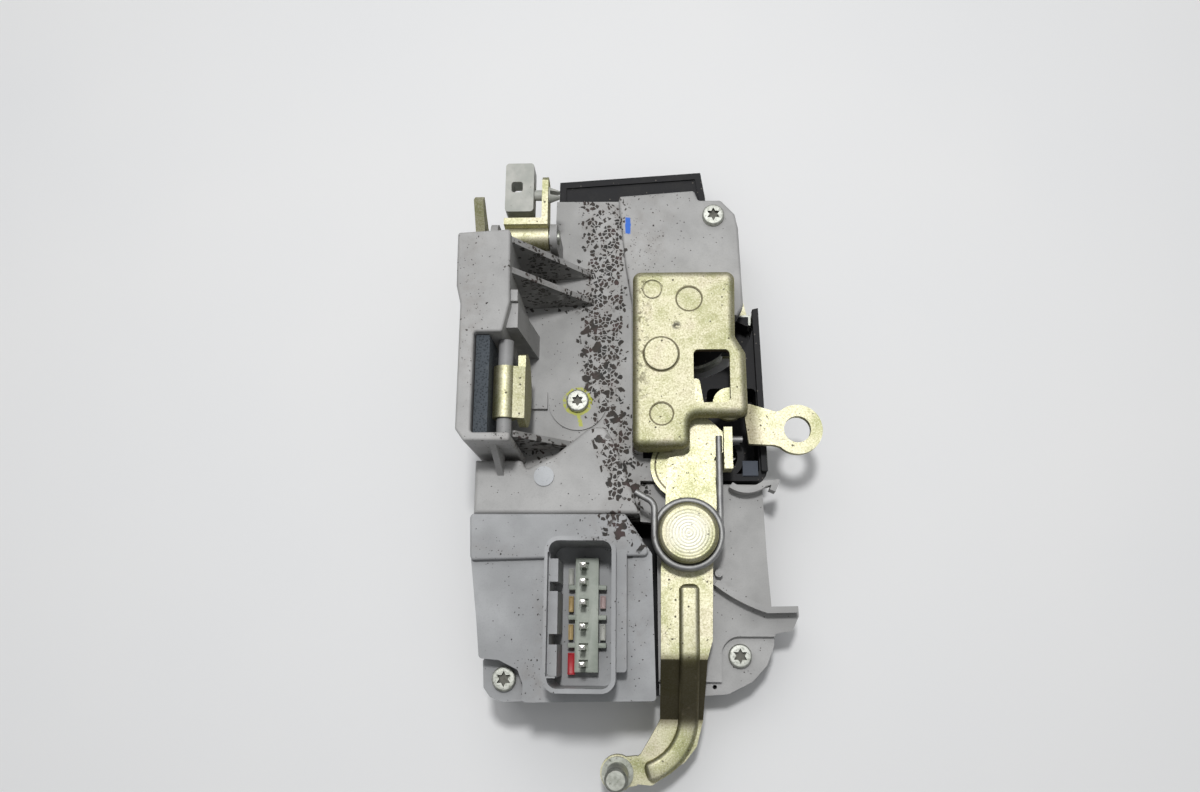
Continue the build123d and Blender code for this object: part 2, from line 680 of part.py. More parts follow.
def ring_wall(points, depth, corner=0.0):
    """Outline with its middle taken out, leaving a wall."""
    with BuildSketch(mode=Mode.PRIVATE) as flat:
        add(outline(points, corner))
        with BuildSketch(mode=Mode.PRIVATE) as middle:
            add(outline(points, corner))
            offset(amount=-depth, mode=Mode.REPLACE)
        add(middle.sketch, mode=Mode.SUBTRACT)
    return flat.sketch


with BuildPart() as claw_room:
    with BuildSketch(Plane.XY):
        add(outline(housing_points))
        offset(amount=gap, mode=Mode.REPLACE)
    extrude(amount=base_z - base_t)
    with BuildSketch(Plane.XY.offset(base_z - base_t)):
        with BuildLine():
            Polyline((22.0, -33.6), (40.0, -33.6), (40.0, 17.8), (24.1, 17.8), (22.3, 14.0), close=True)
        make_face()
    extrude(amount=panel_z - base_z + base_t)

with BuildPart() as front_housing:
    # skirt and base sheet
    with BuildSketch(Plane.XY.offset(split_z)):
        add(ring_wall(base_points, wall))
    extrude(amount=base_z - split_z)
    with BuildSketch(Plane.XY.offset(base_z - base_t)):
        add(outline(base_points))
    extrude(amount=base_t)
    # raised panel
    with BuildSketch(Plane.XY.offset(base_z)):
        add(outline(panel_points, 1.0))
    extrude(amount=panel_z - base_z)
    fillet(front_housing.faces().sort_by(Axis.Z)[-1].edges(), 0.8)
    # plateau over the motor end
    with BuildSketch(Plane.XY.offset(base_z)):
        add(outline(plateau_points, 1.2, loose=(0, 8, 9)))
    extrude(amount=plateau_z - base_z)
    fillet(front_housing.faces().sort_by(Axis.Z)[-1].edges(), 1.0)
    with BuildSketch(Plane.XY.offset(base_z - base_t)):
        add(outline(plateau_points))
        offset(amount=-wall, mode=Mode.REPLACE)
    extrude(amount=plateau_z - wall - base_z + base_t, mode=Mode.SUBTRACT)
    # lower right casing and its screw lug
    for points, top, sharp in ((casing_points, casing_z, casing_sharp), (lug_points, lug_z, None)):
        corner = casing_corner if sharp else 0.0
        with BuildSketch(Plane.XY.offset(split_z)):
            add(ring_wall(points, wall))
        extrude(amount=top - split_z)
        with BuildSketch(Plane.XY.offset(top - base_t)):
            add(outline(points, corner, loose=sharp))
        extrude(amount=base_t)
    # key tower, moulded hollow from below
    with BuildSketch(Plane.XY.offset(base_z - base_t)):
        add(outline(tower_points, 0.8))
    extrude(amount=tower_z - base_z + base_t)
    with BuildSketch(Plane.XY.offset(base_z - base_t)):
        add(outline(tower_core))
    extrude(amount=tower_z - wall - base_z + base_t, mode=Mode.SUBTRACT)
    fillet(front_housing.faces().sort_by(Axis.Z)[-1].edges(), 0.7)
    with Locations(Plane.YZ.offset(housing_left_x)):
        with Locations(key_axis_yz):
            Hole(key_bore_r, depth=8.0)
    # stop nose and ramp on the tower's right side
    with BuildSketch(Plane.XY.offset(base_z)):
        with BuildLine():
            Polyline((-43.4, 15.2), (-40.6, 15.2), (-40.6, 12.4), (-37.9, 12.4), (-37.9, 9.3), (-43.4, 9.3),
                     close=True)
        make_face()
    extrude(amount=tower_z - 2.5 - base_z)
    with BuildSketch(Plane.XZ.offset(-9.2)):
        with BuildLine():
            Polyline((-41.0, base_z), (-35.4, base_z), (-37.9, tower_z - 4.0), (-41.0, tower_z - 4.0),
                     close=True)
        make_face()
    extrude(amount=6.8)
    # gussets from the tower to the base sheet
    for (x, y), reach, top in gussets:
        with BuildSketch(Plane(origin=(x, y, base_z), x_dir=(cos(radians(turn)), sin(radians(turn)), 0),
                               z_dir=(sin(radians(turn)), -cos(radians(turn)), 0))):
            with BuildLine():
                Polyline((-1.0, -0.5), (reach, -0.5), (reach, 0.8), (0.0, top - base_z),
                         (-1.0, top - base_z), close=True)
            make_face()
        extrude(amount=rib_t)
    with BuildSketch(Plane.YZ.offset(foot_gusset_x)):
        with BuildLine():
            Polyline((-28.0, plateau_z - 1.0), (-34.6, plateau_z - 1.0), (-28.0, tower_z - 3.0), close=True)
        make_face()
    extrude(amount=rib_t)
    # ears for the lock shaft
    for x in ear_x:
        with BuildSketch(Plane.YZ.offset(x)):
            with Locations(((lock_axis_yz[0], (base_z + lock_axis_yz[1]) / 2))):
                Rectangle(2 * ear_r, lock_axis_yz[1] - base_z)
            with Locations(lock_axis_yz):
                Circle(ear_r)
                Circle(lock_shaft_r + fit, mode=Mode.SUBTRACT)
        extrude(amount=ear_t)
    # curved stiffening ribs of the casing
    with BuildSketch(Plane.XY.offset(casing_z)):
        with BuildLine():
            sweep_arc = ThreePointArc((14.6, -61.6), (20.4, -65.4), (28.5, -68.9))
            Line(sweep_arc @ 1, (36.6, -68.7))
        trace(line_width=rib_t)
        with BuildLine():
            upper_arc = ThreePointArc((19.3, -34.8), (24.0, -36.2), (28.6, -34.4))
            Polyline(upper_arc @ 1, (32.0, -33.6), (30.8, -36.4))
        trace(line_width=rib_t)
    extrude(amount=rib_rise)
    with BuildSketch(Plane.XY.offset(casing_z - base_t)):
        add(outline(tongue_points))
    extrude(amount=base_t)
    # pivot boss, locating plug seat, screw ring and key
    with BuildSketch(Plane.XY.offset(split_z)):
        with Locations(pivot_xy):
            Circle(pivot_boss_r)
    extrude(amount=boss_top_z - split_z)
    with BuildSketch(Plane.XY.offset(base_z)):
        with Locations(centre_screw_xy):
            Circle(ring_r)
    extrude(amount=ring_rise)
    with BuildSketch(Plane.XY.offset(base_z)):
        with Locations(key_pad_xy):
            Rectangle(*key_pad_size)
    extrude(amount=key_pad_rise)
    with BuildSketch(Plane.XY.offset(casing_z)):
        with Locations(peg_xy):
            Circle(peg_r)
    extrude(amount=peg_rise)
    # boxed bosses for the screws
    with BuildSketch(Plane.XY.offset(split_z)):
        with Locations(panel_screw_xy, lug_screw_xy):
            Circle(screw_shank_r + boss_wall)
    extrude(amount=lug_z - split_z)
    with BuildSketch(Plane.XY.offset(lug_z - 1.0)):
        with Locations(panel_screw_xy):
            Circle(screw_shank_r + boss_wall)
    extrude(amount=panel_z - lug_z)
    # openings
    with BuildSketch(Plane.XY.offset(base_z - base_t)):
        add(outline(under_cover))
    extrude(amount=panel_z - base_z + base_t, mode=Mode.SUBTRACT)
    add(claw_room.part, mode=Mode.SUBTRACT)
    with BuildSketch(Plane.XY.offset(split_z)):
        with Locations(panel_screw_xy, lug_screw_xy, centre_screw_xy):
            Circle(screw_shank_r + screw_fit)
        with Locations(pivot_xy):
            Circle(pivot_shank_r)
        with Locations(drain_xy):
            Circle(drain_r)
    extrude(amount=tower_z - split_z, mode=Mode.SUBTRACT)
save(front_housing, "front_housing")

# ---------------------------------------------------------------- motor cover with the plug socket
box_points = [(-51.2, -44.7), (-50.7, -57.0), (-48.7, -73.0), (-47.8, -82.0), (-42.6, -82.4), (-37.6, -84.8),
              (-36.2, -88.4), (-36.2, -92.9), (-1.9, -92.2), (-2.8, -55.0), (-9.8, -44.7)]
strip_points = [(-51.2, -44.7), (-50.7, -57.0), (-2.9, -55.6), (-9.8, -44.7)]
cover_lug = [(-47.8, -82.0), (-47.4, -89.6), (-45.6, -92.0), (-42.4, -93.2), (-36.2, -92.9), (-36.2, -82.0)]
cover_lug_z = 27.0
socket_mid = ((socket_x[0] + socket_x[1]) / 2, (socket_y[0] + socket_y[1]) / 2)
socket_size = (socket_x[1] - socket_x[0], socket_y[1] - socket_y[0])
key_rib_spans = ((-57.0, -62.8), (-65.2, -75.8), (-78.4, -86.4))

with BuildPart() as motor_cover:
    with BuildSketch(Plane.XY.offset(split_z)):
        add(outline(box_points, 1.0))
    extrude(amount=plateau_z - split_z)
    with BuildSketch(Plane.XY.offset(plateau_z)):
        add(outline(strip_points, 1.2))
    extrude(amount=strip_z - plateau_z)
    fillet(motor_cover.faces().sort_by(Axis.Z)[-1].edges(), 0.6)
    with BuildSketch(Plane.XY.offset(split_z)):
        add(outline(box_points))
        offset(amount=-wall, mode=Mode.REPLACE)
    extrude(amount=plateau_z - wall - split_z, mode=Mode.SUBTRACT)
    # low screw lug in the cut-away corner
    with BuildSketch(Plane.XY.offset(split_z)):
        add(outline(cover_lug, 1.0))
    extrude(amount=cover_lug_z - split_z)
    # plug socket: a shrouded well
    with BuildSketch(Plane.XY.offset(socket_floor_z - wall)):
        with Locations(socket_mid):
            RectangleRounded(*socket_size, socket_corner_r)
    extrude(amount=socket_z - socket_floor_z + wall)
    with BuildSketch(Plane.XY.offset(plateau_z)):
        with Locations((socket_x[1] + 1.0, socket_mid[1] + 1.0)):
            RectangleRounded(3.2, socket_size[1] - 8.0, 0.8)
    extrude(amount=socket_z - 5.0 - plateau_z)
    with BuildSketch(Plane.XY.offset(socket_floor_z)):
        with Locations(socket_mid):
            RectangleRounded(socket_size[0] - 2 * socket_wall, socket_size[1] - 2 * socket_wall,
                             socket_corner_r - socket_wall)
        # coding ribs on the left wall
        for top, bottom in key_rib_spans:
            with Locations((socket_x[0] + socket_wall + 0.9, (top + bottom) / 2)):
                Rectangle(2.4, top - bottom, mode=Mode.SUBTRACT)
    extrude(amount=socket_z - socket_floor_z, mode=Mode.SUBTRACT)
    with BuildSketch(Plane.XY.offset(socket_z - 4.0)):
        with Locations((socket_x[0] + socket_wall + 1.0, socket_mid[1])):
            Rectangle(2.6, socket_size[1] - 8.0)
    extrude(amount=4.0, mode=Mode.SUBTRACT)
    # catch windows through the short walls
    with BuildSketch(Plane.XZ.offset(-socket_y[1] - 3.0)):
        with Locations((socket_mid[0] - 1.2, socket_z - 1.2)):
            Rectangle(5.0, 1.6)
    extrude(amount=socket_size[1] + 6.0, mode=Mode.SUBTRACT)
    with BuildSketch(Plane.XY.offset(split_z)):
        with Locations(cover_screw_xy):
            Circle(screw_shank_r + screw_fit)
    extrude(amount=tower_z, mode=Mode.SUBTRACT)
save(motor_cover, "motor_cover")

block_size = (5.6, 29.0)
with BuildPart() as terminal_block:
    with BuildSketch(Plane.XY.offset(socket_floor_z)):
        with Locations(terminal_xy):
            Rectangle(*block_size)
    extrude(amount=5.0)
    chamfer(terminal_block.faces().sort_by(Axis.Z)[-1].edges(), 0.5)
save(terminal_block, "terminal_block")

pin_y = [terminal_xy[1] + sum(pin_pitch) / 2 - sum(pin_pitch[:i]) for i in range(len(pin_pitch) + 1)]
with BuildPart() as connector_pins:
    with BuildSketch(Plane.XY.offset(socket_floor_z + 5.0)):
        with Locations(*[(terminal_xy[0], y) for y in pin_y]):
            Rectangle(1.5, 1.2)
    extrude(amount=7.0)
save(connector_pins, "connector_pins")

# ---------------------------------------------------------------- rear cover
cradle_y = (-86.0, -69.0)
cradle_size = (18.0, wall)
cradle_top_z = motor_xz[1] - motor_size[1] / 2
guide_y = (-40.0, -10.0, 12.0)
guide_size = (5.0, wall)
guide_top_z = slider_z - gap
ledge_points = [(-29.5, 52.0), (-29.4, 60.6), (11.4, 63.0), (12.4, 56.0), (11.6, 53.6), (-12.0, 52.4)]
ledge_drop = 0.7  # deck of the ledge below its rim
rear_points = [(housing_left_x, -44.4), (housing_left_x, 40.0), (-31.3, 40.0), (-31.0, 62.2),
               (12.8, 64.9), (14.2, 56.2), (14.0, 52.0), (18.0, 50.2), (22.1, 45.7), (23.0, 41.3),
               (23.9, 17.0), (28.0, -30.0), (28.4, -34.1), (29.2, -55.0), (30.0, -67.8), (30.8, -75.6),
               (30.6, -78.4), (28.6, -83.5), (24.5, -87.9), (17.9, -91.2), (11.6, -91.7), (-36.2, -92.9),
               (-42.4, -93.2), (-45.6, -92.0), (-47.4, -89.6), (-47.8, -82.0), (-50.7, -57.0), (-51.2, -44.7)]
with BuildPart() as rear_cover:
    with BuildSketch():
        add(outline(rear_points))
    extrude(amount=split_z)
    with BuildSketch(Plane.XY.offset(wall)):
        add(outline(rear_points))
        offset(amount=-wall, mode=Mode.REPLACE)
    extrude(amount=split_z - wall, mode=Mode.SUBTRACT)
    with BuildSketch():
        with Locations(panel_screw_xy, lug_screw_xy, cover_screw_xy):
            Circle(screw_shank_r + boss_wall)
        with Locations(pivot_xy):
            Circle(pivot_boss_r)
    extrude(amount=split_z)
    # motor cradle and slider guides
    with BuildSketch(Plane.XY.offset(wall)):
        with Locations(*[(motor_xz[0], y) for y in cradle_y]):
            Rectangle(*cradle_size)
    extrude(amount=cradle_top_z - wall)
    with BuildSketch(Plane.XY.offset(wall)):
        with Locations(*[((slider_x[0] + slider_x[1]) / 2, y) for y in guide_y]):
            Rectangle(*guide_size)
    extrude(amount=guide_top_z - wall)
    # closed ledge above the grey housing's upper edge
    with BuildSketch(Plane.XY.offset(split_z - ledge_drop - wall)):
        add(outline(ledge_points))
    extrude(amount=wall)
    add(claw_room.part, mode=Mode.SUBTRACT)
    with BuildSketch(Plane.XY.offset(wall)):
        with Locations(panel_screw_xy, lug_screw_xy, cover_screw_xy):
            Circle(screw_shank_r + screw_fit)
    extrude(amount=split_z, mode=Mode.SUBTRACT)
save(rear_cover, "rear_cover")

# ---------------------------------------------------------------- key lever in the tower
key_shaft_len = 26.4
barrel_r = 3.1
barrel_y = (-21.1, -7.2)
key_disc_yz = (-12.4, 41.0)
key_disc_r = 9.8
key_disc_x = -38.0
key_disc_t = 2.0
with BuildPart() as key_shaft:
    with BuildSketch(Plane.XZ.offset(-0.1)):
        with Locations(key_shaft_xz):
            Circle(key_shaft_r)
    extrude(amount=key_shaft_len)
save(key_shaft, "key_shaft")

with BuildPart() as key_lever:
    with BuildSketch(Plane.XZ.offset(-barrel_y[1])):
        with Locations(key_shaft_xz):
            Circle(barrel_r)
            Circle(key_shaft_r + fit, mode=Mode.SUBTRACT)
        with BuildLine():
            Polyline((-40.6, 48.0), (-36.0, 46.6), (-36.0, 44.6), (-39.0, 45.2), (-39.2, 46.0), close=True)
        make_face()
    extrude(amount=barrel_y[1] - barrel_y[0])
    with BuildSketch(Plane.YZ.offset(key_disc_x)):
        with Locations(key_disc_yz):
            Circle(key_disc_r)
        with Locations((key_disc_yz[0], key_shaft_xz[1] + 6.5)):
            Rectangle(24.0, 12.0, mode=Mode.SUBTRACT)
    extrude(amount=key_disc_t)
save(key_lever, "key_lever")

foam_x = -48.4
foam_t = 3.6
foam_size = (26.0, 30.0)

with BuildPart() as foam_seal:
    with BuildSketch(Plane.YZ.offset(foam_x)):
        with Locations((key_axis_yz[0], key_axis_yz[1] - 1.0)):
            Rectangle(*foam_size)
        with Locations(key_axis_yz):
            Circle(key_bore_r, mode=Mode.SUBTRACT)
    extrude(amount=foam_t)
save(foam_seal, "foam_seal")

# ---------------------------------------------------------------- lock lever and rod clip above the tower
with BuildPart() as lock_shaft:
    with BuildSketch(Plane.YZ.offset(lock_shaft_x[0])):
        with Locations(lock_axis_yz):
            Circle(lock_shaft_r)
    extrude(amount=lock_shaft_x[1] - lock_shaft_x[0])
save(lock_shaft, "lock_shaft")

clip_pin_r = 1.5
with BuildPart() as lock_lever:
    # barrel round the shaft, cross flange and side plate
    with BuildSketch(Plane.YZ.offset(bracket_x[0])):
        with Locations(lock_axis_yz):
            Circle(lock_shaft_r + bracket_t)
        with BuildLine():
            Polyline((34.6, 38.0), (36.8, 38.0), (36.8, 43.0), (34.9, 43.0), close=True)
        make_face()
        with Locations(lock_axis_yz):
            Circle(lock_shaft_r, mode=Mode.SUBTRACT)
    extrude(amount=bracket_x[1] - bracket_x[0])
    with BuildSketch(Plane.YZ.offset(bracket_x[1] - bracket_t)):
        with BuildLine():
            Polyline((36.0, 35.0), (48.0, 36.0), (49.6, 38.0), (49.6, 41.6), (48.2, 43.0), (35.4, 43.0),
                     close=True)
        make_face()
        with Locations(clip_pin_yz):
            Circle(clip_pin_r, mode=Mode.SUBTRACT)
    extrude(amount=bracket_t)
save(lock_lever, "lock_lever")

clip_z = 36.6
clip_h = 6.0
clip_xy = (-39.5, 46.2)
clip_size = (8.0, 14.6)
rod_hole_xy = (-40.2, 46.3)
rod_hole = 3.2
barb_r = 2.3
barb_len = 3.0
barb_slot = 1.2

with BuildPart() as rod_clip:
    with BuildSketch(Plane.XY.offset(clip_z)):
        with Locations(clip_xy):
            RectangleRounded(*clip_size, 1.0)
        with Locations(rod_hole_xy):
            RectangleRounded(rod_hole, rod_hole, 0.8, mode=Mode.SUBTRACT)
    extrude(amount=clip_h)
    with BuildSketch(Plane.YZ.offset(bracket_x[1] - bracket_t - 3.0)):
        with Locations(clip_pin_yz):
            Circle(clip_pin_r)
    extrude(amount=bracket_t + 3.0)
    # split barb that snaps through the bracket
    with BuildSketch(Plane.YZ.offset(bracket_x[1])):
        with Locations(clip_pin_yz):
            Circle(barb_r)
    extrude(amount=barb_len, taper=20)
    with BuildSketch(Plane.XY.offset(clip_pin_yz[1] - barb_r)):
        with Locations((bracket_x[1] + barb_len / 2 + 0.4, clip_pin_yz[0])):
            Rectangle(barb_len, barb_slot)
    extrude(amount=2 * barb_r, mode=Mode.SUBTRACT)
save(rod_clip, "rod_clip")

finger_x = -51.6
finger_t = 2.6
finger_hub_r = lock_shaft_r + 1.8
with BuildPart() as lock_finger:
    with BuildSketch(Plane.YZ.offset(finger_x)):
        with Locations(lock_axis_yz):
            Circle(finger_hub_r)
        with BuildLine():
            Polyline((31.0, 39.8), (40.8, 46.4), (42.6, 44.2), (36.2, 35.0), close=True)
        make_face()
        with Locations(lock_axis_yz):
            Circle(lock_shaft_r, mode=Mode.SUBTRACT)
    extrude(amount=finger_t)
save(lock_finger, "lock_finger")

# ---------------------------------------------------------------- screws
def screw(place, head_z, length, name):
    """Pan-headed screws standing at the given places."""
    with BuildPart() as made:
        for (x, y), z, reach in zip(place, head_z, length):
            with BuildSketch(Plane.XY.offset(z)):
                with Locations((x, y)):
                    Circle(screw_head_r)
            extrude(amount=screw_head_h, taper=12)
            with BuildSketch(Plane.XY.offset(z)):
                with Locations((x, y)):
                    Circle(screw_shank_r)
            extrude(amount=-reach)
    save(made, name)


screw([panel_screw_xy, cover_screw_xy, lug_screw_xy], [panel_z, cover_lug_z, lug_z],
      [16.0, 18.0, screw_len], "corner_screws")
screw([centre_screw_xy], [base_z + ring_rise], [screw_len], "centre_screw")
plug_xy = (-31.8, -34.4)
plug_r = 2.7
plug_rise = 0.5

with BuildPart() as locating_plug:
    with BuildSketch(Plane.XY.offset(plateau_z)):
        with Locations(plug_xy):
            Circle(plug_r)
    extrude(amount=plug_rise)
save(locating_plug, "locating_plug")

# ---------------------------------------------------------------- lock motor and its drive
shaft_r = 1.0
wheel_xy = (motor_xz[0] - worm_r - gap - wheel_r, -55.5)
tooth_gap_r = 0.55
slider_play = 0.3
with BuildPart() as lock_motor:
    with BuildSketch(Plane.XZ.offset(-motor_y[1])):
        with Locations(motor_xz):
            Circle(motor_size[0] / 2)
            Rectangle(*motor_size, mode=Mode.INTERSECT)
    extrude(amount=motor_y[1] - motor_y[0])
save(lock_motor, "lock_motor")

with BuildPart() as worm:
    with BuildSketch(Plane.XZ.offset(-motor_y[1] - gap)):
        with Locations(motor_xz):
            Circle(shaft_r)
    extrude(amount=-(worm_y[1] + 1.0 - motor_y[1] - gap))
    with BuildSketch(Plane.XZ.offset(-worm_y[0])):
        with Locations(motor_xz):
            Circle(worm_r)
    extrude(amount=-(worm_y[1] - worm_y[0]))
save(worm, "worm")

wheel_z = motor_xz[1] - wheel_t / 2
with BuildPart() as worm_wheel:
    with BuildSketch(Plane.XY.offset(wheel_z)):
        with Locations(wheel_xy):
            Circle(wheel_r)
        with Locations(wheel_xy):
            with PolarLocations(wheel_r, wheel_teeth):
                Circle(tooth_gap_r, mode=Mode.SUBTRACT)
        with Locations(wheel_xy):
            Circle(wheel_pin_r + fit, mode=Mode.SUBTRACT)
    extrude(amount=wheel_t)
    with BuildSketch(Plane.XY.offset(wheel_z)):
        with Locations((wheel_xy[0] - crank_r, wheel_xy[1])):
            Circle(crank_pin_r)
    extrude(amount=-(wheel_z - slider_z))
save(worm_wheel, "worm_wheel")

with BuildPart() as wheel_pin:
    with BuildSketch(Plane.XY.offset(wall)):
        with Locations(wheel_xy):
            Circle(wheel_pin_r)
    extrude(amount=motor_xz[1] + wheel_t / 2 + 1.0 - wall)
save(wheel_pin, "wheel_pin")

slot_travel = 2.6
with BuildPart() as lock_slider:
    with BuildSketch(Plane.XY.offset(slider_z)):
        with Locations(((slider_x[0] + slider_x[1]) / 2, (slider_y[0] + slider_y[1]) / 2)):
            RectangleRounded(slider_x[1] - slider_x[0], slider_y[1] - slider_y[0], 1.0)
        with Locations(((slider_x[0] + wheel_xy[0] - wheel_pin_r - slider_play) / 2 - 0.4, wheel_xy[1])):
            RectangleRounded(wheel_xy[0] - wheel_pin_r - slider_play - slider_x[0] - 0.8, 9.0, 1.0)
        with Locations((wheel_xy[0] - crank_r + 0.6, wheel_xy[1])):
            SlotCenterToCenter(slot_travel - 0.2, 2 * (crank_pin_r + slider_play), mode=Mode.SUBTRACT)
    extrude(amount=slider_t)
save(lock_slider, "lock_slider")

lead_t = 0.8
lead_drop = 1.0  # below the socket's floor
with BuildPart() as lead_frame:
    with BuildSketch(Plane.XY.offset(socket_floor_z - wall - lead_drop)):
        with Locations(terminal_xy):
            Rectangle(6.0, 30.0)
        with Locations((-31.0, -75.0)):
            Rectangle(16.0, 2.0)
    extrude(amount=lead_t)
save(lead_frame, "lead_frame")

switch_xy = (-42.0, -74.0)
switch_size = (5.8, 12.8)
switch_h = 6.5
with BuildPart() as microswitch:
    with BuildSketch(Plane.XY.offset(wall)):
        with Locations(switch_xy):
            Rectangle(*switch_size)
    extrude(amount=switch_h)
save(microswitch, "microswitch")
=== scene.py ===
"""Looks of a door latch actuator: finishes, screws, lever bead, plug contacts, floor, light and camera."""

from math import cos, sin

import bpy
from mathutils import Matrix, Vector


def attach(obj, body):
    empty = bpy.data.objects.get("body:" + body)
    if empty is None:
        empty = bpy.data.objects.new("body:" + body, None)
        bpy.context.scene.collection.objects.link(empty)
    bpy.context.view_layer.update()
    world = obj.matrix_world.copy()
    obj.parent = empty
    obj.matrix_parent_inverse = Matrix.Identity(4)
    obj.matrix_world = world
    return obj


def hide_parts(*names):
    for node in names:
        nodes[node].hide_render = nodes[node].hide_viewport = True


MM = 0.001

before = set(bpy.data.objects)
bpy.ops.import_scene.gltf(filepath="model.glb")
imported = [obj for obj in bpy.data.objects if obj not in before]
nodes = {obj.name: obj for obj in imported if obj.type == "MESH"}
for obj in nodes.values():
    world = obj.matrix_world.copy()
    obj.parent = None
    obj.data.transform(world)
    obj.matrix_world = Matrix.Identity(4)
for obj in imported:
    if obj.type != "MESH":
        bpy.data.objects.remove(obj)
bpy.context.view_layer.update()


# ---------------------------------------------------------------- shader writing
class Shade:
    """A shader socket. Arithmetic on it adds Math nodes to its finish."""

    def __init__(self, finish, socket):
        self.finish = finish
        self.socket = socket

    def maths(self, operation, *values):
        return self.finish.add("Math", {"operation": operation}, dict(enumerate(values)))

    def __add__(self, other):
        return self.maths("ADD", self, other)

    def __radd__(self, other):
        return self.maths("ADD", other, self)

    def __sub__(self, other):
        return self.maths("SUBTRACT", self, other)

    def __rsub__(self, other):
        return self.maths("SUBTRACT", other, self)

    def __mul__(self, other):
        return self.maths("MULTIPLY", self, other)

    def __rmul__(self, other):
        return self.maths("MULTIPLY", other, self)

    def __truediv__(self, other):
        return self.maths("DIVIDE", self, other)

    def __rtruediv__(self, other):
        return self.maths("DIVIDE", other, self)

    def __abs__(self):
        return self.maths("ABSOLUTE", self)

    def root(self):
        return self.maths("SQRT", self)

    def most(self, other):
        return self.maths("MAXIMUM", self, other)

    def least(self, other):
        return self.maths("MINIMUM", self, other)

    def step(self, low, high):
        """0 up to low, 1 from high on, and smooth between them; high below low turns it round."""
        ends = {"Value": self, "From Min": low, "From Max": high}
        return self.finish.add("MapRange", {"interpolation_type": "SMOOTHSTEP"}, ends)


class Finish:
    """A material being made, with one method that adds its nodes."""

    def __init__(self, name):
        self.material = bpy.data.materials.new(name)
        self.material.use_nodes = True
        self.tree = self.material.node_tree
        self.tree.nodes.clear()

    def add(self, kind, settings=None, sockets=None, out=0):
        """A node of this kind: its settings first, then its sockets' values or links. Gives its output."""
        node = self.tree.nodes.new("ShaderNode" + kind)
        for key, value in (settings or {}).items():
            if key == "stops":
                ramp = node.color_ramp.elements
                while len(ramp) < len(value):
                    ramp.new(0.5)
                for element, (place, colour) in zip(ramp, value):
                    element.position = place
                    element.color = (*colour, 1.0)
            else:
                setattr(node, key, value)
        for key, value in (sockets or {}).items():
            if isinstance(value, Shade):
                self.tree.links.new(value.socket, node.inputs[key])
            elif isinstance(value, (tuple, list)) and len(value) == 3 and node.inputs[key].type == "RGBA":
                node.inputs[key].default_value = (*value, 1.0)
            else:
                node.inputs[key].default_value = value
        return Shade(self, node.outputs[out]) if node.outputs else node

    def place(self):
        """Object coordinates in millimetres, as a vector and as its three parts."""
        metres = self.add("TexCoord", out="Object")
        point = self.add("VectorMath", {"operation": "SCALE"}, {0: metres, "Scale": 1000.0})
        split = point.finish.tree.nodes.new("ShaderNodeSeparateXYZ")
        self.tree.links.new(point.socket, split.inputs[0])
        return point, *(Shade(self, socket) for socket in split.outputs)

    def noise(self, point, size, detail=3.0, roughness=0.55, warp=0.0):
        """Cloudy noise from 0 to 1, whose patches are about size millimetres across."""
        sockets = {"Vector": point, "Scale": 1.0 / size}
        sockets.update({"Detail": detail, "Roughness": roughness, "Distortion": warp})
        return self.add("TexNoise", None, sockets)

    def cells(self, point, size, feature="F1", out="Distance"):
        """Distance from the nearest of scattered points that are about size millimetres apart."""
        return self.add("TexVoronoi", {"feature": feature}, {"Vector": point, "Scale": 1.0 / size}, out)

    def blend(self, mask, under, over):
        """Colour over on colour under where the mask is 1."""
        return self.add("Mix", {"data_type": "RGBA"}, {0: mask, 6: under, 7: over}, 2)

    def ramp(self, value, *stops):
        return self.add("ValToRGB", {"stops": stops}, {0: value})

    def bump(self, height, distance, strength=1.0):
        sockets = {"Height": height, "Distance": distance * MM, "Strength": strength}
        return self.add("Bump", None, sockets)

    def surface(self, **sockets):
        """The Principled surface, with its sockets named in words joined by underscores."""
        named = {key.replace("_", " "): value for key, value in sockets.items()}
        shader = self.add("BsdfPrincipled", None, named)
        self.add("OutputMaterial", None, {"Surface": shader})
        return self.material


def length(off_x, off_y):
    """Length of a distance in plan."""
    return (off_x * off_x + off_y * off_y).root()


def spot(x, y, centre, reach):
    """Soft spot that fades from 1 at its centre to 0 at reach (in x and in y)."""
    return length((x - centre[0]) / reach[0], (y - centre[1]) / reach[1]).step(1.0, 0.15)


# ---------------------------------------------------------------- shared places, in millimetres
SCREW_TOPS = {
    "cover_screw": (-41.9, -87.3, 28.8),
    "panel_screw": (15.7, 44.9, 25.8),
    "lug_screw": (21.2, -81.1, 16.8),
}
MIDDLE_TOP = (-23.9, -10.5, 22.4)
RIVET_SEATS = [((7.9, 16.2), 3.62), ((0.0, -16.9), 3.2), ((0.0, 0.0), 4.95)]
COIN_DIMPLE = (-2.4, 19.1)
COUPLING_RIVET = (6.3, -29.5)
LEVER_PIVOT = (6.9, -49.3)


# ---------------------------------------------------------------- finishes
def grime(finish, point, x, y):
    """How thickly the road dirt lies, from 0 to 1, in plan over the housing."""
    drift = y.step(-2.0, -46.0) * 9.0
    column = abs(x - drift + 17.0).step(8.5, 3.5) * y.step(-60.0, -46.0) * y.step(56.0, 50.0)
    gusset_feet_and_corner = [
        ((-30.0, 18.5), (15.0, 3.4)),
        ((-33.0, 27.5), (9.0, 4.0)),
        ((-34.0, -26.0), (13.0, 4.0)),
        ((-13.0, -47.5), (7.5, 7.0)),
    ]
    thick = column
    for centre, reach in gusset_feet_and_corner:
        thick = thick.most(spot(x, y, centre, reach) * 0.8)
    return thick * finish.noise(point, 8.0, 2.0).step(0.2, 0.5)


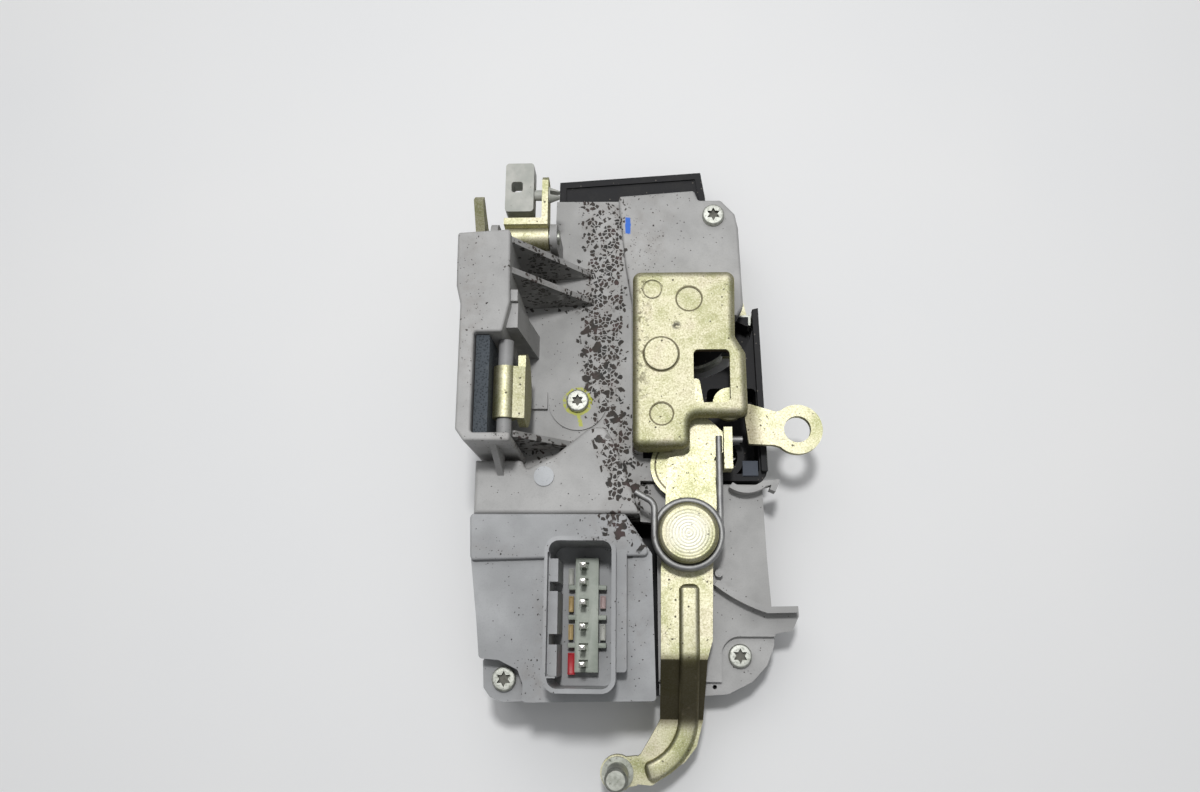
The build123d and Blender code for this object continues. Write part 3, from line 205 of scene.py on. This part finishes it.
def splash(finish, point, x, y):
    """How thickly fine brown spatter lies, from 0 to 1, round the plug socket and along the dirt."""
    spots = [
        ((-15.0, -48.0), (12.0, 11.0)),
        ((-34.0, -87.0), (9.0, 13.0)),
        ((-44.0, -54.0), (13.0, 5.0)),
        ((-31.5, -72.0), (4.0, 22.0)),
        ((-7.5, -70.0), (6.0, 24.0)),
        ((-36.0, -27.0), (20.0, 9.0)),
        ((-4.0, 40.0), (14.0, 22.0)),
        ((-50.0, 10.0), (7.0, 40.0)),
    ]
    thick = grime(finish, point, x, y)
    for centre, reach in spots:
        thick = thick.most(spot(x, y, centre, reach) * 0.8)
    return thick * finish.noise(point, 5.0, 3.0).step(0.25, 0.62)


def chance(finish, point, size):
    """A number from 0 to 1 for each cell of the scattered points, each as likely as the next."""
    return finish.add("SeparateXYZ", None, {0: finish.cells(point, size, "F1", "Color")})


def flakes(finish, point, size, keep):
    """Dried mud cracked into flakes about size millimetres across; keep is the share that is left."""
    edge = finish.cells(point, size, "DISTANCE_TO_EDGE")
    left = (keep - chance(finish, point, size)).step(0.0, 0.05)
    return edge.step(0.065, 0.12) * left


def specks(finish, point, size, share):
    """Round specks, on a share of the points of a grid of about size millimetres."""
    near = finish.cells(point, size)
    return near.step(0.20, 0.13) * (share - chance(finish, point, size)).step(0.0, 0.01)


def stirred(finish, point, size, amount):
    """The point, pushed about so that patterns read from it lose their straight edges."""
    cloud = finish.add("TexNoise", None, {"Vector": point, "Scale": 1.0 / size, "Detail": 2.0}, "Color")
    pushed = finish.add("VectorMath", {"operation": "SCALE"}, {0: cloud, "Scale": amount})
    return finish.add("VectorMath", {"operation": "ADD"}, {0: point, 1: pushed})


def moulded_grey(name, base, dirty=1.0, marks=False):
    """Grey polyamide with a fine eroded grain, weathering, mud, and painted shade on walls that face down the
    door.
    """
    f = Finish(name)
    point, x, y, z = f.place()
    cloud = f.noise(point, 22.0, 3.0)
    streak = f.noise(point, 5.0, 4.0, 0.6)
    grain = f.noise(point, 0.36, 2.0)
    pale = tuple(c * 1.13 for c in base)
    dull = tuple(c * 0.86 for c in base)
    colour = f.blend(cloud.step(0.35, 0.68), dull, pale)
    colour = f.blend(streak.step(0.45, 0.75) * 0.30, colour, tuple(c * 0.74 for c in base))
    colour = f.blend(grain.step(0.5, 0.7) * 0.16, colour, tuple(c * 0.55 for c in base))
    thick = grime(f, point, x, y) * dirty
    spatter = splash(f, point, x, y) * dirty
    loose = stirred(f, point, 1.6, 1.3)
    film_and_shade = spatter * f.noise(point, 3.2, 4.0).step(0.3, 0.7) * 0.40
    colour = f.blend(film_and_shade, colour, (0.22, 0.19, 0.165))
    coarse = flakes(f, loose, 1.25, thick * 0.80 - y.step(6.0, -10.0) * 0.12)
    large = flakes(f, loose, 2.7, (thick * 0.46) * y.step(22.0, 2.0))
    pepper = specks(f, loose, 0.82, spatter * 0.90 + 0.03)
    blots = specks(f, loose, 1.4, spatter * 0.62)
    dots = specks(f, loose, 0.95, f.noise(point, 9.0, 2.0).step(0.3, 0.75) * 0.24 + 0.04)
    mud = coarse.most(large).most(pepper * 0.85).most(blots).most(dots)
    mud_colour = f.ramp(
        f.noise(point, 3.4),
        (0.38, (0.018, 0.017, 0.015)),
        (0.54, (0.036, 0.027, 0.021)),
        (0.68, (0.060, 0.034, 0.032)),
    )
    colour = f.blend(mud * 0.94, colour, mud_colour)
    facing = f.add("SeparateXYZ", None, {0: f.add("NewGeometry", out="Normal")}, 1)
    # painted shade with grease: walls that face down the door, round the tower and its gussets, are turned
    # from the light and painted dark
    below = facing.step(-0.35, -0.8) * spot(x, y, (-29.0, 8.0), (17.0, 42.0))
    below = below * f.noise(point, 3.0, 4.0).step(0.25, 0.5)
    colour = f.blend(below * 0.72, colour, (0.045, 0.044, 0.038))
    height = grain * 0.35 + mud * 0.9 + streak * 0.3
    if marks:
        colour = paint_marks(f, point, x, y, z, colour)
    return f.surface(
        Base_Color=colour,
        Roughness=(0.50 + streak * 0.14 + mud * 0.28).least(1.0),
        Normal=f.bump(height, 0.07, 0.55),
    )


def paint_marks(f, point, x, y, z, colour):
    """A ring of yellow-green sealing paint round the middle screw, and a dab of blue by the panel."""
    wave = f.noise(point, 2.2, 3.0)
    away = length(x - MIDDLE_TOP[0], y - MIDDLE_TOP[1])
    ring = abs(away - 3.55 - (wave - 0.5) * 1.6).step(0.85, 0.45)
    tail = abs(x + 23.4 + (y + 15.5) * 0.22).step(0.75, 0.4) * abs(y + 15.4).step(2.7, 2.2)
    broken = f.noise(point, 1.0, 3.0).step(0.36, 0.5)
    colour = f.blend(ring.most(tail) * broken * 0.9, colour, (0.50, 0.52, 0.045))
    dab = abs(x + 9.5 - (wave - 0.5) * 0.9).step(0.95, 0.6)
    dab = dab * abs(y - 42.3 - (wave - 0.5) * 1.4).step(2.9, 2.3)
    return f.blend(dab * z.step(22.0, 23.0), colour, (0.010, 0.135, 0.62))


def moulded_black(name):
    """Black polyamide, rubbed grey in places, with one dusty blue-grey stop block."""
    f = Finish(name)
    point, x, y, z = f.place()
    dust = f.noise(point, 7.0, 5.0, 0.65).step(0.45, 0.8)
    fine = f.noise(point, 0.5, 3.0)
    colour = f.blend(dust * 0.4, (0.016, 0.016, 0.018), (0.075, 0.073, 0.070))
    colour = f.blend(specks(f, point, 1.3, 0.30) * 0.6, colour, (0.20, 0.18, 0.15))
    block = abs(x - 25.2).step(2.3, 2.1) * abs(y + 29.5).step(2.3, 2.1) * z.step(13.0, 14.0)
    colour = f.blend(block * 0.9, colour, (0.085, 0.098, 0.125))
    return f.surface(
        Base_Color=colour,
        Specular_IOR_Level=0.25,
        Roughness=0.60 + dust * 0.2,
        Normal=f.bump(fine, 0.05, 0.5),
    )


def circle_line(x, y, centre, radius, half=0.16):
    """A thin line round a circle, in plan."""
    return abs(length(x - centre[0], y - centre[1]) - radius).step(half * 2.2, half)


def zinc_yellow(name, gloss=0.0, rings=None, worn_and_seat_shade=False, lever=False):
    """Yellow chromate over bright zinc: satin, with fine crystals, and painted shade that turns its standing
    edges olive.

    rings is the middle of turned rings, with a painted highlight at their middle. worn adds the cover's rust
    and painted shade in its rivet seats, and lever adds painted shade over the joggle and the root of the
    cable arm.
    """
    f = Finish(name)
    point, x, y, z = f.place()
    crystals = f.noise(point, 0.46, 3.0, 0.7)
    drift = f.noise(point, 10.0, 2.0, 0.5, 0.8)
    colour = f.ramp(
        drift,
        (0.25, (0.36, 0.37, 0.19)),
        (0.40, (0.50, 0.49, 0.31)),
        (0.55, (0.61, 0.585, 0.42)),
        (0.66, (0.58, 0.54, 0.40)),
        (0.80, (0.40, 0.40, 0.21)),
    )
    facing = f.add("NewGeometry", out="Normal")
    tilt = f.add("SeparateXYZ", None, {0: facing}, 2)
    # painted shade: walls that stand up are painted dark olive, standing in for their darker reflections
    colour = f.blend(abs(tilt).step(0.96, 0.5) * 0.66, colour, (0.24, 0.225, 0.085))
    colour = f.blend(crystals.step(0.5, 0.66) * 0.42, colour, (0.27, 0.25, 0.11))
    colour = f.blend(crystals.step(0.5, 0.36) * 0.34, colour, (0.78, 0.765, 0.64))
    stain_and_shade = (f.noise(point, 0.9, 4.0, 0.65) - 0.70 + f.noise(point, 16.0, 2.0) * 0.09).step(0.0, 0.03)
    stain_and_shade = stain_and_shade.most(specks(f, point, 1.7, 0.14))
    colour = f.blend(stain_and_shade * 0.8, colour, (0.055, 0.040, 0.026))
    height = crystals * 0.5 + f.noise(point, 4.0, 2.0) * 0.6 - stain_and_shade * 0.4
    if rings:
        away = length(x - rings[0], y - rings[1])
        groove = away.maths("SINE", away * 7.4)
        height = height + groove * 0.8 * away.step(9.0, 7.6)
        # painted highlight: the middle of the turned disc is painted pale
        colour = f.blend(away.step(7.4, 3.0) * 0.7, colour, (0.78, 0.77, 0.70))
        colour = f.blend(groove.step(0.2, 1.0) * 0.30, colour, (0.36, 0.33, 0.20))
    if worn_and_seat_shade:
        window = abs(x - 14.1).step(5.9, 5.5) * abs(y + 5.4).step(7.9, 7.5)
        rust = window * z.step(32.4, 31.6) * z.step(30.0, 31.0)
        scuff = spot(x, y, (4.2, 8.4), (1.7, 1.5)) * z.step(32.0, 32.8)
        scuff = scuff * f.noise(point, 0.9, 3.0).step(0.42, 0.5)
        left_edge = x.step(-2.0, -6.8) * y.step(-22.0, 0.0) * 0.55
        left_edge = left_edge * f.noise(point, 1.3, 4.0).step(0.52, 0.6)
        # painted shade: thin dark lines round the rivet seats and the coin dimple
        seats = circle_line(x, y, COIN_DIMPLE, 2.6, 0.12) * 0.7
        for rivet, radius in RIVET_SEATS:
            seats = seats.most(circle_line(x, y, rivet, radius))
        stain_and_shade = stain_and_shade.most(rust * 0.9).most(scuff).most(left_edge)
        colour = f.blend(seats * z.step(32.0, 32.7) * 0.8, colour, (0.085, 0.070, 0.035))
        colour = f.blend(left_edge, colour, (0.15, 0.115, 0.06))
        colour = f.blend(scuff * 0.85, colour, (0.06, 0.05, 0.035))
        colour = f.blend(rust * 0.85, colour, (0.075, 0.030, 0.018))
    if lever:
        # painted shade: the joggle's bends and the root of the cable arm are painted dark brown, where they
        # turn from the light
        joggle = y.step(-79.3, -82.8) * y.step(-101.2, -97.4)
        root_shade = x.step(28.8, 24.6) * x.step(21.0, 23.0)
        root_shade = root_shade * y.step(-12.0, -14.0) * y.step(-30.0, -27.0)
        film_and_shade = (joggle * 0.86).most(root_shade * 0.72)
        colour = f.blend(film_and_shade, colour, (0.085, 0.070, 0.038))
        # the line near the rim of the half-moon plate, below the release lever
        rim = circle_line(x, y, COUPLING_RIVET, 8.1) * z.step(22.3, 22.2)
        colour = f.blend(rim * 0.85, colour, (0.07, 0.06, 0.035))
    return f.surface(
        Base_Color=colour,
        Metallic=1.0 - stain_and_shade * 0.9,
        Roughness=0.55 - gloss + crystals * 0.16 + stain_and_shade * 0.3,
        Normal=f.bump(height, 0.05, 0.6),
    )


def bright_steel(name, colour_a, colour_b, roughness, mottled=0.0, pits=()):
    """Plain or white-zinc steel with fine handling marks; pits are the screw tops whose recess gets painted
    shade.
    """
    f = Finish(name)
    point, x, y, z = f.place()
    haze = f.noise(point, 3.0, 4.0, 0.6)
    fine = f.noise(point, 0.35, 3.0, 0.65)
    patch = f.noise(point, 0.8, 3.0, 0.6)
    colour = f.blend(haze.step(0.35, 0.7), colour_a, colour_b)
    colour = f.blend(patch.step(0.5, 0.62) * mottled, colour, (0.16, 0.17, 0.13))
    stain_and_shade = (f.noise(point, 0.8, 4.0) - 0.66).step(0.0, 0.05)
    for pit_x, pit_y, top in pits:
        # painted shade: the recess of each screw top is painted dark, and joins the stain mask
        inside = spot(x, y, (pit_x, pit_y), (3.0, 3.0)).step(0.0, 0.1) * z.step(top - 0.15, top - 0.4)
        stain_and_shade = stain_and_shade.most(inside)
    colour = f.blend(stain_and_shade * 0.8, colour, (0.10, 0.095, 0.075))
    return f.surface(
        Base_Color=colour,
        Metallic=1.0 - stain_and_shade * 0.8,
        Roughness=(roughness + haze * 0.15 + stain_and_shade * 0.2).least(1.0),
        Normal=f.bump(fine + haze * 0.5 + patch * mottled, 0.04, 0.5),
    )


def plain_plastic(name, colour_a, colour_b, roughness, size=4.0, see_through=0.0):
    """Moulded plastic with slight clouding and dust."""
    f = Finish(name)
    point, x, y, z = f.place()
    cloud = f.noise(point, size, 4.0, 0.6)
    fine = f.noise(point, 0.4, 3.0)
    colour = f.blend(cloud.step(0.35, 0.7), colour_a, colour_b)
    dust = (f.noise(point, 0.9, 4.0) - 0.68).step(0.0, 0.03)
    colour = f.blend(dust * 0.6, colour, (0.11, 0.085, 0.065))
    return f.surface(
        Base_Color=colour,
        Roughness=roughness + cloud * 0.15,
        Subsurface_Weight=see_through,
        Subsurface_Radius=(0.8 * MM, 0.8 * MM, 0.7 * MM),
        Subsurface_Scale=1.0,
        Normal=f.bump(fine + cloud * 0.5, 0.04, 0.5),
    )


def cell_foam(name):
    """Open-cell sealing foam, dusty blue-grey."""
    f = Finish(name)
    point, x, y, z = f.place()
    pores = f.cells(point, 0.6)
    dust = f.noise(point, 1.6, 4.0, 0.65)
    colour = f.blend(pores.step(0.15, 0.55), (0.032, 0.038, 0.045), (0.075, 0.087, 0.100))
    colour = f.blend(dust.step(0.55, 0.8) * 0.5, colour, (0.14, 0.145, 0.15))
    return f.surface(Base_Color=colour, Roughness=0.95, Normal=f.bump(pores + dust, 0.25, 0.8))


finishes = {
    "grey": moulded_grey("housing_grey", (0.395, 0.392, 0.385), marks=True),
    "cover": moulded_grey("cover_grey", (0.360, 0.366, 0.373), dirty=0.9),
    "shaft": moulded_grey("shaft_grey", (0.300, 0.300, 0.300), dirty=0.5),
    "plug": moulded_grey("plug_grey", (0.46, 0.475, 0.49), dirty=0.35),
    "black": moulded_black("housing_black"),
    "latch": zinc_yellow("latch_zinc", worn_and_seat_shade=True),
    "yellow": zinc_yellow("yellow_zinc", gloss=0.07),
    "lever": zinc_yellow("lever_zinc", gloss=0.09, lever=True),
    "rivet": zinc_yellow("rivet_zinc"),
    "disc": zinc_yellow("turned_zinc", gloss=0.06, rings=LEVER_PIVOT),
    "wire": bright_steel("spring_wire", (0.33, 0.33, 0.33), (0.46, 0.46, 0.45), 0.52),
    "stud": bright_steel("stud_steel", (0.33, 0.34, 0.30), (0.50, 0.51, 0.46), 0.42, 0.3),
    "screw": bright_steel("screw_zinc", (0.50, 0.51, 0.46), (0.66, 0.67, 0.62), 0.50, 0.45,
                          [*SCREW_TOPS.values(), MIDDLE_TOP]),
    "motor": bright_steel("motor_can", (0.56, 0.56, 0.56), (0.70, 0.70, 0.70), 0.35),
    "contact": bright_steel("contact_tin", (0.66, 0.65, 0.60), (0.86, 0.85, 0.80), 0.20),
    "brass": bright_steel("brass", (0.66, 0.48, 0.20), (0.80, 0.62, 0.30), 0.28),
    "rubber": plain_plastic("buffer_rubber", (0.02, 0.02, 0.02), (0.05, 0.05, 0.05), 0.75),
    "foam": cell_foam("seal_foam"),
    "white": plain_plastic("clip_white", (0.38, 0.39, 0.355), (0.50, 0.50, 0.46), 0.42, 5.0, 0.25),
    "amber": plain_plastic("seal_amber", (0.36, 0.25, 0.095), (0.52, 0.39, 0.18), 0.45),
    "red": plain_plastic("seal_red", (0.42, 0.012, 0.020), (0.62, 0.035, 0.050), 0.38),
    "rose": plain_plastic("seal_rose", (0.38, 0.28, 0.27), (0.48, 0.37, 0.36), 0.45),
    "green": plain_plastic("terminal_green", (0.30, 0.335, 0.285), (0.40, 0.43, 0.375), 0.42),
    "dark": plain_plastic("switch_dark", (0.035, 0.035, 0.038), (0.075, 0.075, 0.08), 0.45),
}
worn_by = {
    "grey": ["front_housing"],
    "cover": ["motor_cover"],
    "shaft": ["key_shaft"],
    "plug": ["locating_plug"],
    "black": ["rear_cover", "claw_housing", "claw_jacket", "lock_slider"],
    "latch": ["latch_cover"],
    "lever": ["inside_release_lever", "release_lever", "coupling_lever"],
    "yellow": ["lock_lever", "lock_finger", "key_lever", "striker_plate"],
    "rivet": ["claw_pin", "middle_rivet", "pawl_pin"],
    "disc": ["release_pivot"],
    "wire": ["release_spring", "transfer_pin"],
    "stud": ["lever_stud", "coupling_rivet", "lock_shaft", "wheel_pin"],
    "screw": ["corner_screws", "centre_screw", "claw", "pawl"],
    "motor": ["lock_motor"],
    "contact": ["connector_pins", "lead_frame"],
    "brass": ["worm"],
    "rubber": ["striker_buffer"],
    "foam": ["foam_seal"],
    "white": ["rod_clip", "worm_wheel"],
    "green": ["terminal_block"],
    "dark": ["microswitch"],
}
for kind, names in worn_by.items():
    for name in names:
        slots = nodes[name].data.materials
        slots.clear()
        slots.append(finishes[kind])


# ---------------------------------------------------------------- modelling
def start(kind, place, **size):
    """A primitive at a place in millimetres, the only thing selected, with its place in its mesh."""
    bpy.ops.object.select_all(action="DESELECT")
    getattr(bpy.ops.mesh, f"primitive_{kind}_add")(location=[c * MM for c in place], **size)
    bpy.ops.object.transform_apply(location=True, rotation=True, scale=True)
    return bpy.context.object


def block(place, size):
    """A box of this size in millimetres, centred on its place."""
    return start("cube", place, size=1.0, scale=[c * MM for c in size])


def round_bar(place, radius, height, sides):
    """A bar along Z, centred on its place, round or with few sides."""
    return start("cylinder", place, vertices=sides, radius=radius * MM, depth=height * MM)


def edit(piece, kind, parts, chosen):
    """Goes into edit mode with only the chosen parts selected, of the kind FACE or VERT."""
    bpy.context.view_layer.objects.active = piece
    bpy.ops.object.mode_set(mode="EDIT")
    bpy.ops.mesh.select_mode(type=kind)
    bpy.ops.mesh.select_all(action="DESELECT")
    bpy.ops.object.mode_set(mode="OBJECT")
    for part in parts:
        part.select = chosen(part)
    bpy.ops.object.mode_set(mode="EDIT")


def open_at(piece, way):
    """Edits the faces that point this way."""
    towards = Vector(way)
    edit(piece, "FACE", piece.data.polygons, lambda face: face.normal.dot(towards) > 0.9)


def close():
    bpy.ops.object.mode_set(mode="OBJECT")


def scaled(share, place):
    """Scales what is selected about a place in millimetres."""
    bpy.ops.transform.resize(value=share, center_override=[c * MM for c in place])


def grow(distance):
    """Extrudes the selected faces by this vector, in millimetres."""
    bpy.ops.mesh.extrude_region_move(TRANSFORM_OT_translate={"value": [c * MM for c in distance]})


def modify(piece, kind, **settings):
    """Adds a modifier and applies it."""
    bpy.context.view_layer.objects.active = piece
    modifier = piece.modifiers.new(kind.lower(), kind)
    for key, value in settings.items():
        setattr(modifier, key, value)
    bpy.ops.object.modifier_apply(modifier=modifier.name)


def cut(piece, tool):
    """Takes the tool's shape out of the piece."""
    modify(piece, "BOOLEAN", operation="DIFFERENCE", solver="EXACT", object=tool)
    bpy.data.objects.remove(tool)


def joined(pieces):
    """The pieces as one object."""
    bpy.ops.object.select_all(action="DESELECT")
    for piece in pieces:
        piece.select_set(True)
    bpy.context.view_layer.objects.active = pieces[0]
    if len(pieces) > 1:
        bpy.ops.object.join()
    return pieces[0]


def copied(piece, move):
    """A copy with its own mesh, moved by this vector in millimetres."""
    bpy.ops.object.select_all(action="DESELECT")
    piece.select_set(True)
    bpy.context.view_layer.objects.active = piece
    bpy.ops.object.duplicate(linked=False)
    copy = bpy.context.object
    bpy.ops.transform.translate(value=[c * MM for c in move])
    bpy.ops.object.transform_apply(location=True, rotation=True, scale=True)
    return copy


def hand_over(piece, name, finish, stands_for=None, body="housing"):
    """Names and shades a piece, and lets it ride on its body."""
    piece.name = name
    piece.data.name = name
    piece.data.materials.clear()
    piece.data.materials.append(finishes[finish])
    bpy.ops.object.select_all(action="DESELECT")
    piece.select_set(True)
    bpy.context.view_layer.objects.active = piece
    bpy.ops.object.shade_smooth_by_angle(angle=0.6)
    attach(piece, body)
    if stands_for:
        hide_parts(stands_for)


# ---------------------------------------------------------------- screws
UP = (0.0, 0.0, 1.0)
DOWN = (0.0, 0.0, -1.0)
HEAD_R = 3.2
HEAD_H = 1.8
HEAD_ROUND = 0.55
SHANK_R = 1.5
SHANK_L = 11.0
RECESS_DEEP = 1.3


def screw(top):
    """A pan-head screw on the Z axis, with its crown at this height."""
    x, y, z = top
    piece = round_bar((x, y, z - HEAD_H / 2), HEAD_R, HEAD_H, 48)
    open_at(piece, UP)
    bpy.ops.mesh.bevel(offset=HEAD_ROUND * MM, segments=4, affect="EDGES")
    close()
    open_at(piece, DOWN)
    bpy.ops.mesh.inset(thickness=(HEAD_R - SHANK_R) * MM)
    grow((0.0, 0.0, HEAD_H - SHANK_L))
    close()
    return piece


def star_recess(top, outer, inner):
    """The cutter of a six-lobed recess, from a twelve-sided bar with every other corner pulled in."""
    bar = round_bar(top, outer, 2 * RECESS_DEEP, 12)
    edit(bar, "VERT", bar.data.vertices, lambda corner: corner.index // 2 % 2 == 1)
    scaled((inner / outer, inner / outer, 1.0), top)
    close()
    return bar


first_name, first_top = next(iter(SCREW_TOPS.items()))
first_screw = screw(first_top)
cut(first_screw, star_recess(first_top, 2.1, 1.15))
for name, top in SCREW_TOPS.items():
    move = [a - b for a, b in zip(top, first_top)]
    head = first_screw if name == first_name else copied(first_screw, move)
    hand_over(head, name, "screw", "corner_screws")
middle_screw = screw(MIDDLE_TOP)
cut(middle_screw, star_recess(MIDDLE_TOP, 1.8, 1.1))
hand_over(middle_screw, "middle_screw", "screw", "centre_screw")

# ---------------------------------------------------------------- stiffening bead of the release lever
BEAD_WIDE = 5.5
BEAD_THICK = 4.4
BEAD_ROUND = 1.95
STUB = 0.5
NOSE = 1.3
NOSE_SHARE = (0.78, 0.78, 0.8)
LEVER_TOP = 24.7
LEVER_LOW = 14.3
ARC_MIDDLE = (-8.41, -97.0)
ARC_R = 15.31
ARC_TURN = 0.1383  # radians in each step round the arc
ARC_DROPS = (0.6, 0.2, 0.0, 0.0, 0.0, 0.0, 0.0, 0.0, 0.0)  # how far each step still falls
# the bead's middle line from its head to the arc, over the joggle
BEAD_RUN = (
    (7.2, -64.0, LEVER_TOP),
    (7.05, -80.0, LEVER_TOP),
    (7.04, -82.0, 24.55),
    (7.02, -84.0, 23.6),
    (6.93, -94.0, 17.05),
    (6.9, -97.0, 15.1),
)

head_x, head_y, head_z = BEAD_RUN[0]
bead = block((head_x, head_y + STUB / 2, head_z), (BEAD_WIDE, STUB, BEAD_THICK))
open_at(bead, (0.0, 1.0, 0.0))
grow((0.0, NOSE, 0.0))
scaled(NOSE_SHARE, (head_x, head_y + STUB + NOSE, head_z))
close()
open_at(bead, (0.0, -1.0, 0.0))
for here, there in zip(BEAD_RUN, BEAD_RUN[1:]):
    grow([b - a for a, b in zip(here, there)])
arc_centre = [c * MM for c in (*ARC_MIDDLE, LEVER_TOP)]
for drop in ARC_DROPS:
    grow((0.0, 0.0, -drop))
    bpy.ops.transform.rotate(value=ARC_TURN, orient_axis="Z", center_override=arc_centre)
swept = len(ARC_DROPS) * ARC_TURN
nose_way = (-NOSE * sin(swept), -NOSE * cos(swept), 0.0)
nose_x = ARC_MIDDLE[0] + ARC_R * cos(swept) + nose_way[0]
nose_y = ARC_MIDDLE[1] - ARC_R * sin(swept) + nose_way[1]
grow(nose_way)
scaled(NOSE_SHARE, (nose_x, nose_y, LEVER_LOW))
close()
modify(bead, "BEVEL", width=BEAD_ROUND * MM, segments=7, limit_method="ANGLE", angle_limit=0.70)
hand_over(bead, "lever_bead", "lever", body="release_lever")

# ---------------------------------------------------------------- inside the plug socket
PIN_X = -20.8
PIN_YS = (-58.15, -62.35, -67.65, -73.75, -79.05, -83.25)
BLOCK_TOP = 31.0
PIT = (2.7, 2.3, 2.8)

carrier = block((PIN_X + 0.75, -70.7, 28.5), (6.1, 29.4, 5.0))
first_pit = block((PIN_X, PIN_YS[0], BLOCK_TOP), PIT)
open_at(first_pit, DOWN)
scaled((0.8, 0.8, 1.0), (PIN_X, PIN_YS[0], BLOCK_TOP - PIT[2] / 2))
close()
pits = [first_pit] + [copied(first_pit, (0.0, y - PIN_YS[0], 0.0)) for y in PIN_YS[1:]]
cut(carrier, joined(pits))
modify(carrier, "BEVEL", width=0.22 * MM, segments=2, limit_method="ANGLE")
bridges = []
for y in (-63.6, -71.4, -78.6):
    bridge = block((-20.0, y, 28.0), (10.2, 1.3, 3.0))
    modify(bridge, "BEVEL", width=0.25 * MM, segments=2)
    bridges.append(bridge)
carrier = joined([carrier] + bridges)
hand_over(carrier, "pin_carrier", "green", "terminal_block")

seals = {
    "amber_seal_upper": ((-24.4, -67.9, 27.2), (1.3, 4.2, 2.4), "amber"),
    "amber_seal_lower": ((-24.4, -75.2, 27.2), (1.3, 4.0, 2.4), "amber"),
    "red_seal": ((-24.1, -83.3, 27.6), (1.9, 5.6, 3.2), "red"),
    "white_seal": ((-24.5, -60.7, 27.2), (1.4, 4.4, 2.4), "white"),
    "rose_seal": ((-15.9, -67.4, 27.2), (1.5, 3.4, 2.4), "rose"),
    "grey_seal": ((-15.9, -75.2, 27.2), (1.5, 4.2, 2.4), "white"),
}
for name, (place, size, finish) in seals.items():
    seal = block(place, size)
    open_at(seal, UP)
    bpy.ops.mesh.inset(thickness=0.3 * MM)
    grow((0.0, 0.0, -0.35))
    close()
    modify(seal, "BEVEL", width=0.16 * MM, segments=2, limit_method="ANGLE")
    hand_over(seal, name, finish)

tips = []
for y in PIN_YS:
    tip = block((PIN_X, y, 33.4), (1.5, 1.2, 9.2))
    open_at(tip, UP)
    bpy.ops.mesh.inset(thickness=0.28 * MM)
    grow((0.0, 0.0, 0.5))
    close()
    modify(tip, "BEVEL", width=0.14 * MM, segments=2)
    tips.append(tip)
hand_over(joined(tips), "plug_pins", "contact", "connector_pins")

# ---------------------------------------------------------------- floor, light and camera
def paper_floor(name):
    """Pale paper, very slightly clouded."""
    f = Finish(name)
    point, x, y, z = f.place()
    tone = f.noise(point, 90.0, 2.0)
    colour = f.blend(tone, (0.825, 0.832, 0.842), (0.872, 0.868, 0.862))
    return f.surface(Base_Color=colour, Roughness=0.9)


bpy.ops.object.select_all(action="DESELECT")
bpy.ops.mesh.primitive_plane_add(size=3.0, location=(0, 0, -0.0001))
floor = bpy.context.object
floor.name = "floor"
floor.data.materials.append(paper_floor("paper"))

world = bpy.data.worlds.new("room")
bpy.context.scene.world = world
world.use_nodes = True
sky = world.node_tree
facing = sky.nodes.new("ShaderNodeTexCoord")
height = sky.nodes.new("ShaderNodeSeparateXYZ")
fade = sky.nodes.new("ShaderNodeMapRange")
fade.interpolation_type = "SMOOTHSTEP"
for socket, value in {"From Min": 0.2, "From Max": 0.9, "To Min": 0.05, "To Max": 0.46}.items():
    fade.inputs[socket].default_value = value
sky.links.new(facing.outputs["Generated"], height.inputs[0])
sky.links.new(height.outputs["Z"], fade.inputs["Value"])
sky.links.new(fade.outputs["Result"], sky.nodes["Background"].inputs["Strength"])
sky.nodes["Background"].inputs["Color"].default_value = (0.97, 0.985, 1.0, 1.0)


def lamp(name, place, size, power):
    """A round soft lamp, aimed at the middle of the latch."""
    light = bpy.data.lights.new(name, "AREA")
    light.shape = "DISK"
    light.size = size
    light.energy = power
    thing = bpy.data.objects.new(name, light)
    bpy.context.collection.objects.link(thing)
    thing.location = place
    thing.rotation_euler = (Vector(AIM) - Vector(place)).to_track_quat("-Z", "Y").to_euler()


AIM = (0.0, -0.02, 0.02)
lamp("flash", (-0.010, 0.086, 0.580), 0.06, 1.6)
lamp("ceiling", (-0.25, 0.75, 1.1), 1.2, 4.0)

# the camera looks down on the latch, tilted a little up the door
right = Vector((0.99879, 0.00787, -0.0485))
up = Vector((0.00393, 0.97111, 0.23860))
back = right.cross(up)
lens = bpy.data.cameras.new("camera")
lens.sensor_width = 36.0
lens.lens = 30.0
lens.clip_start = 0.01
camera = bpy.data.objects.new("camera", lens)
bpy.context.collection.objects.link(camera)
turn = Matrix((right, up, back)).transposed()
camera.matrix_world = Matrix.Translation((-0.00342, -0.07758, 0.300)) @ turn.to_4x4()
bpy.context.scene.camera = camera
bpy.context.scene.view_settings.view_transform = "Standard"

bpy.context.view_layer.update()
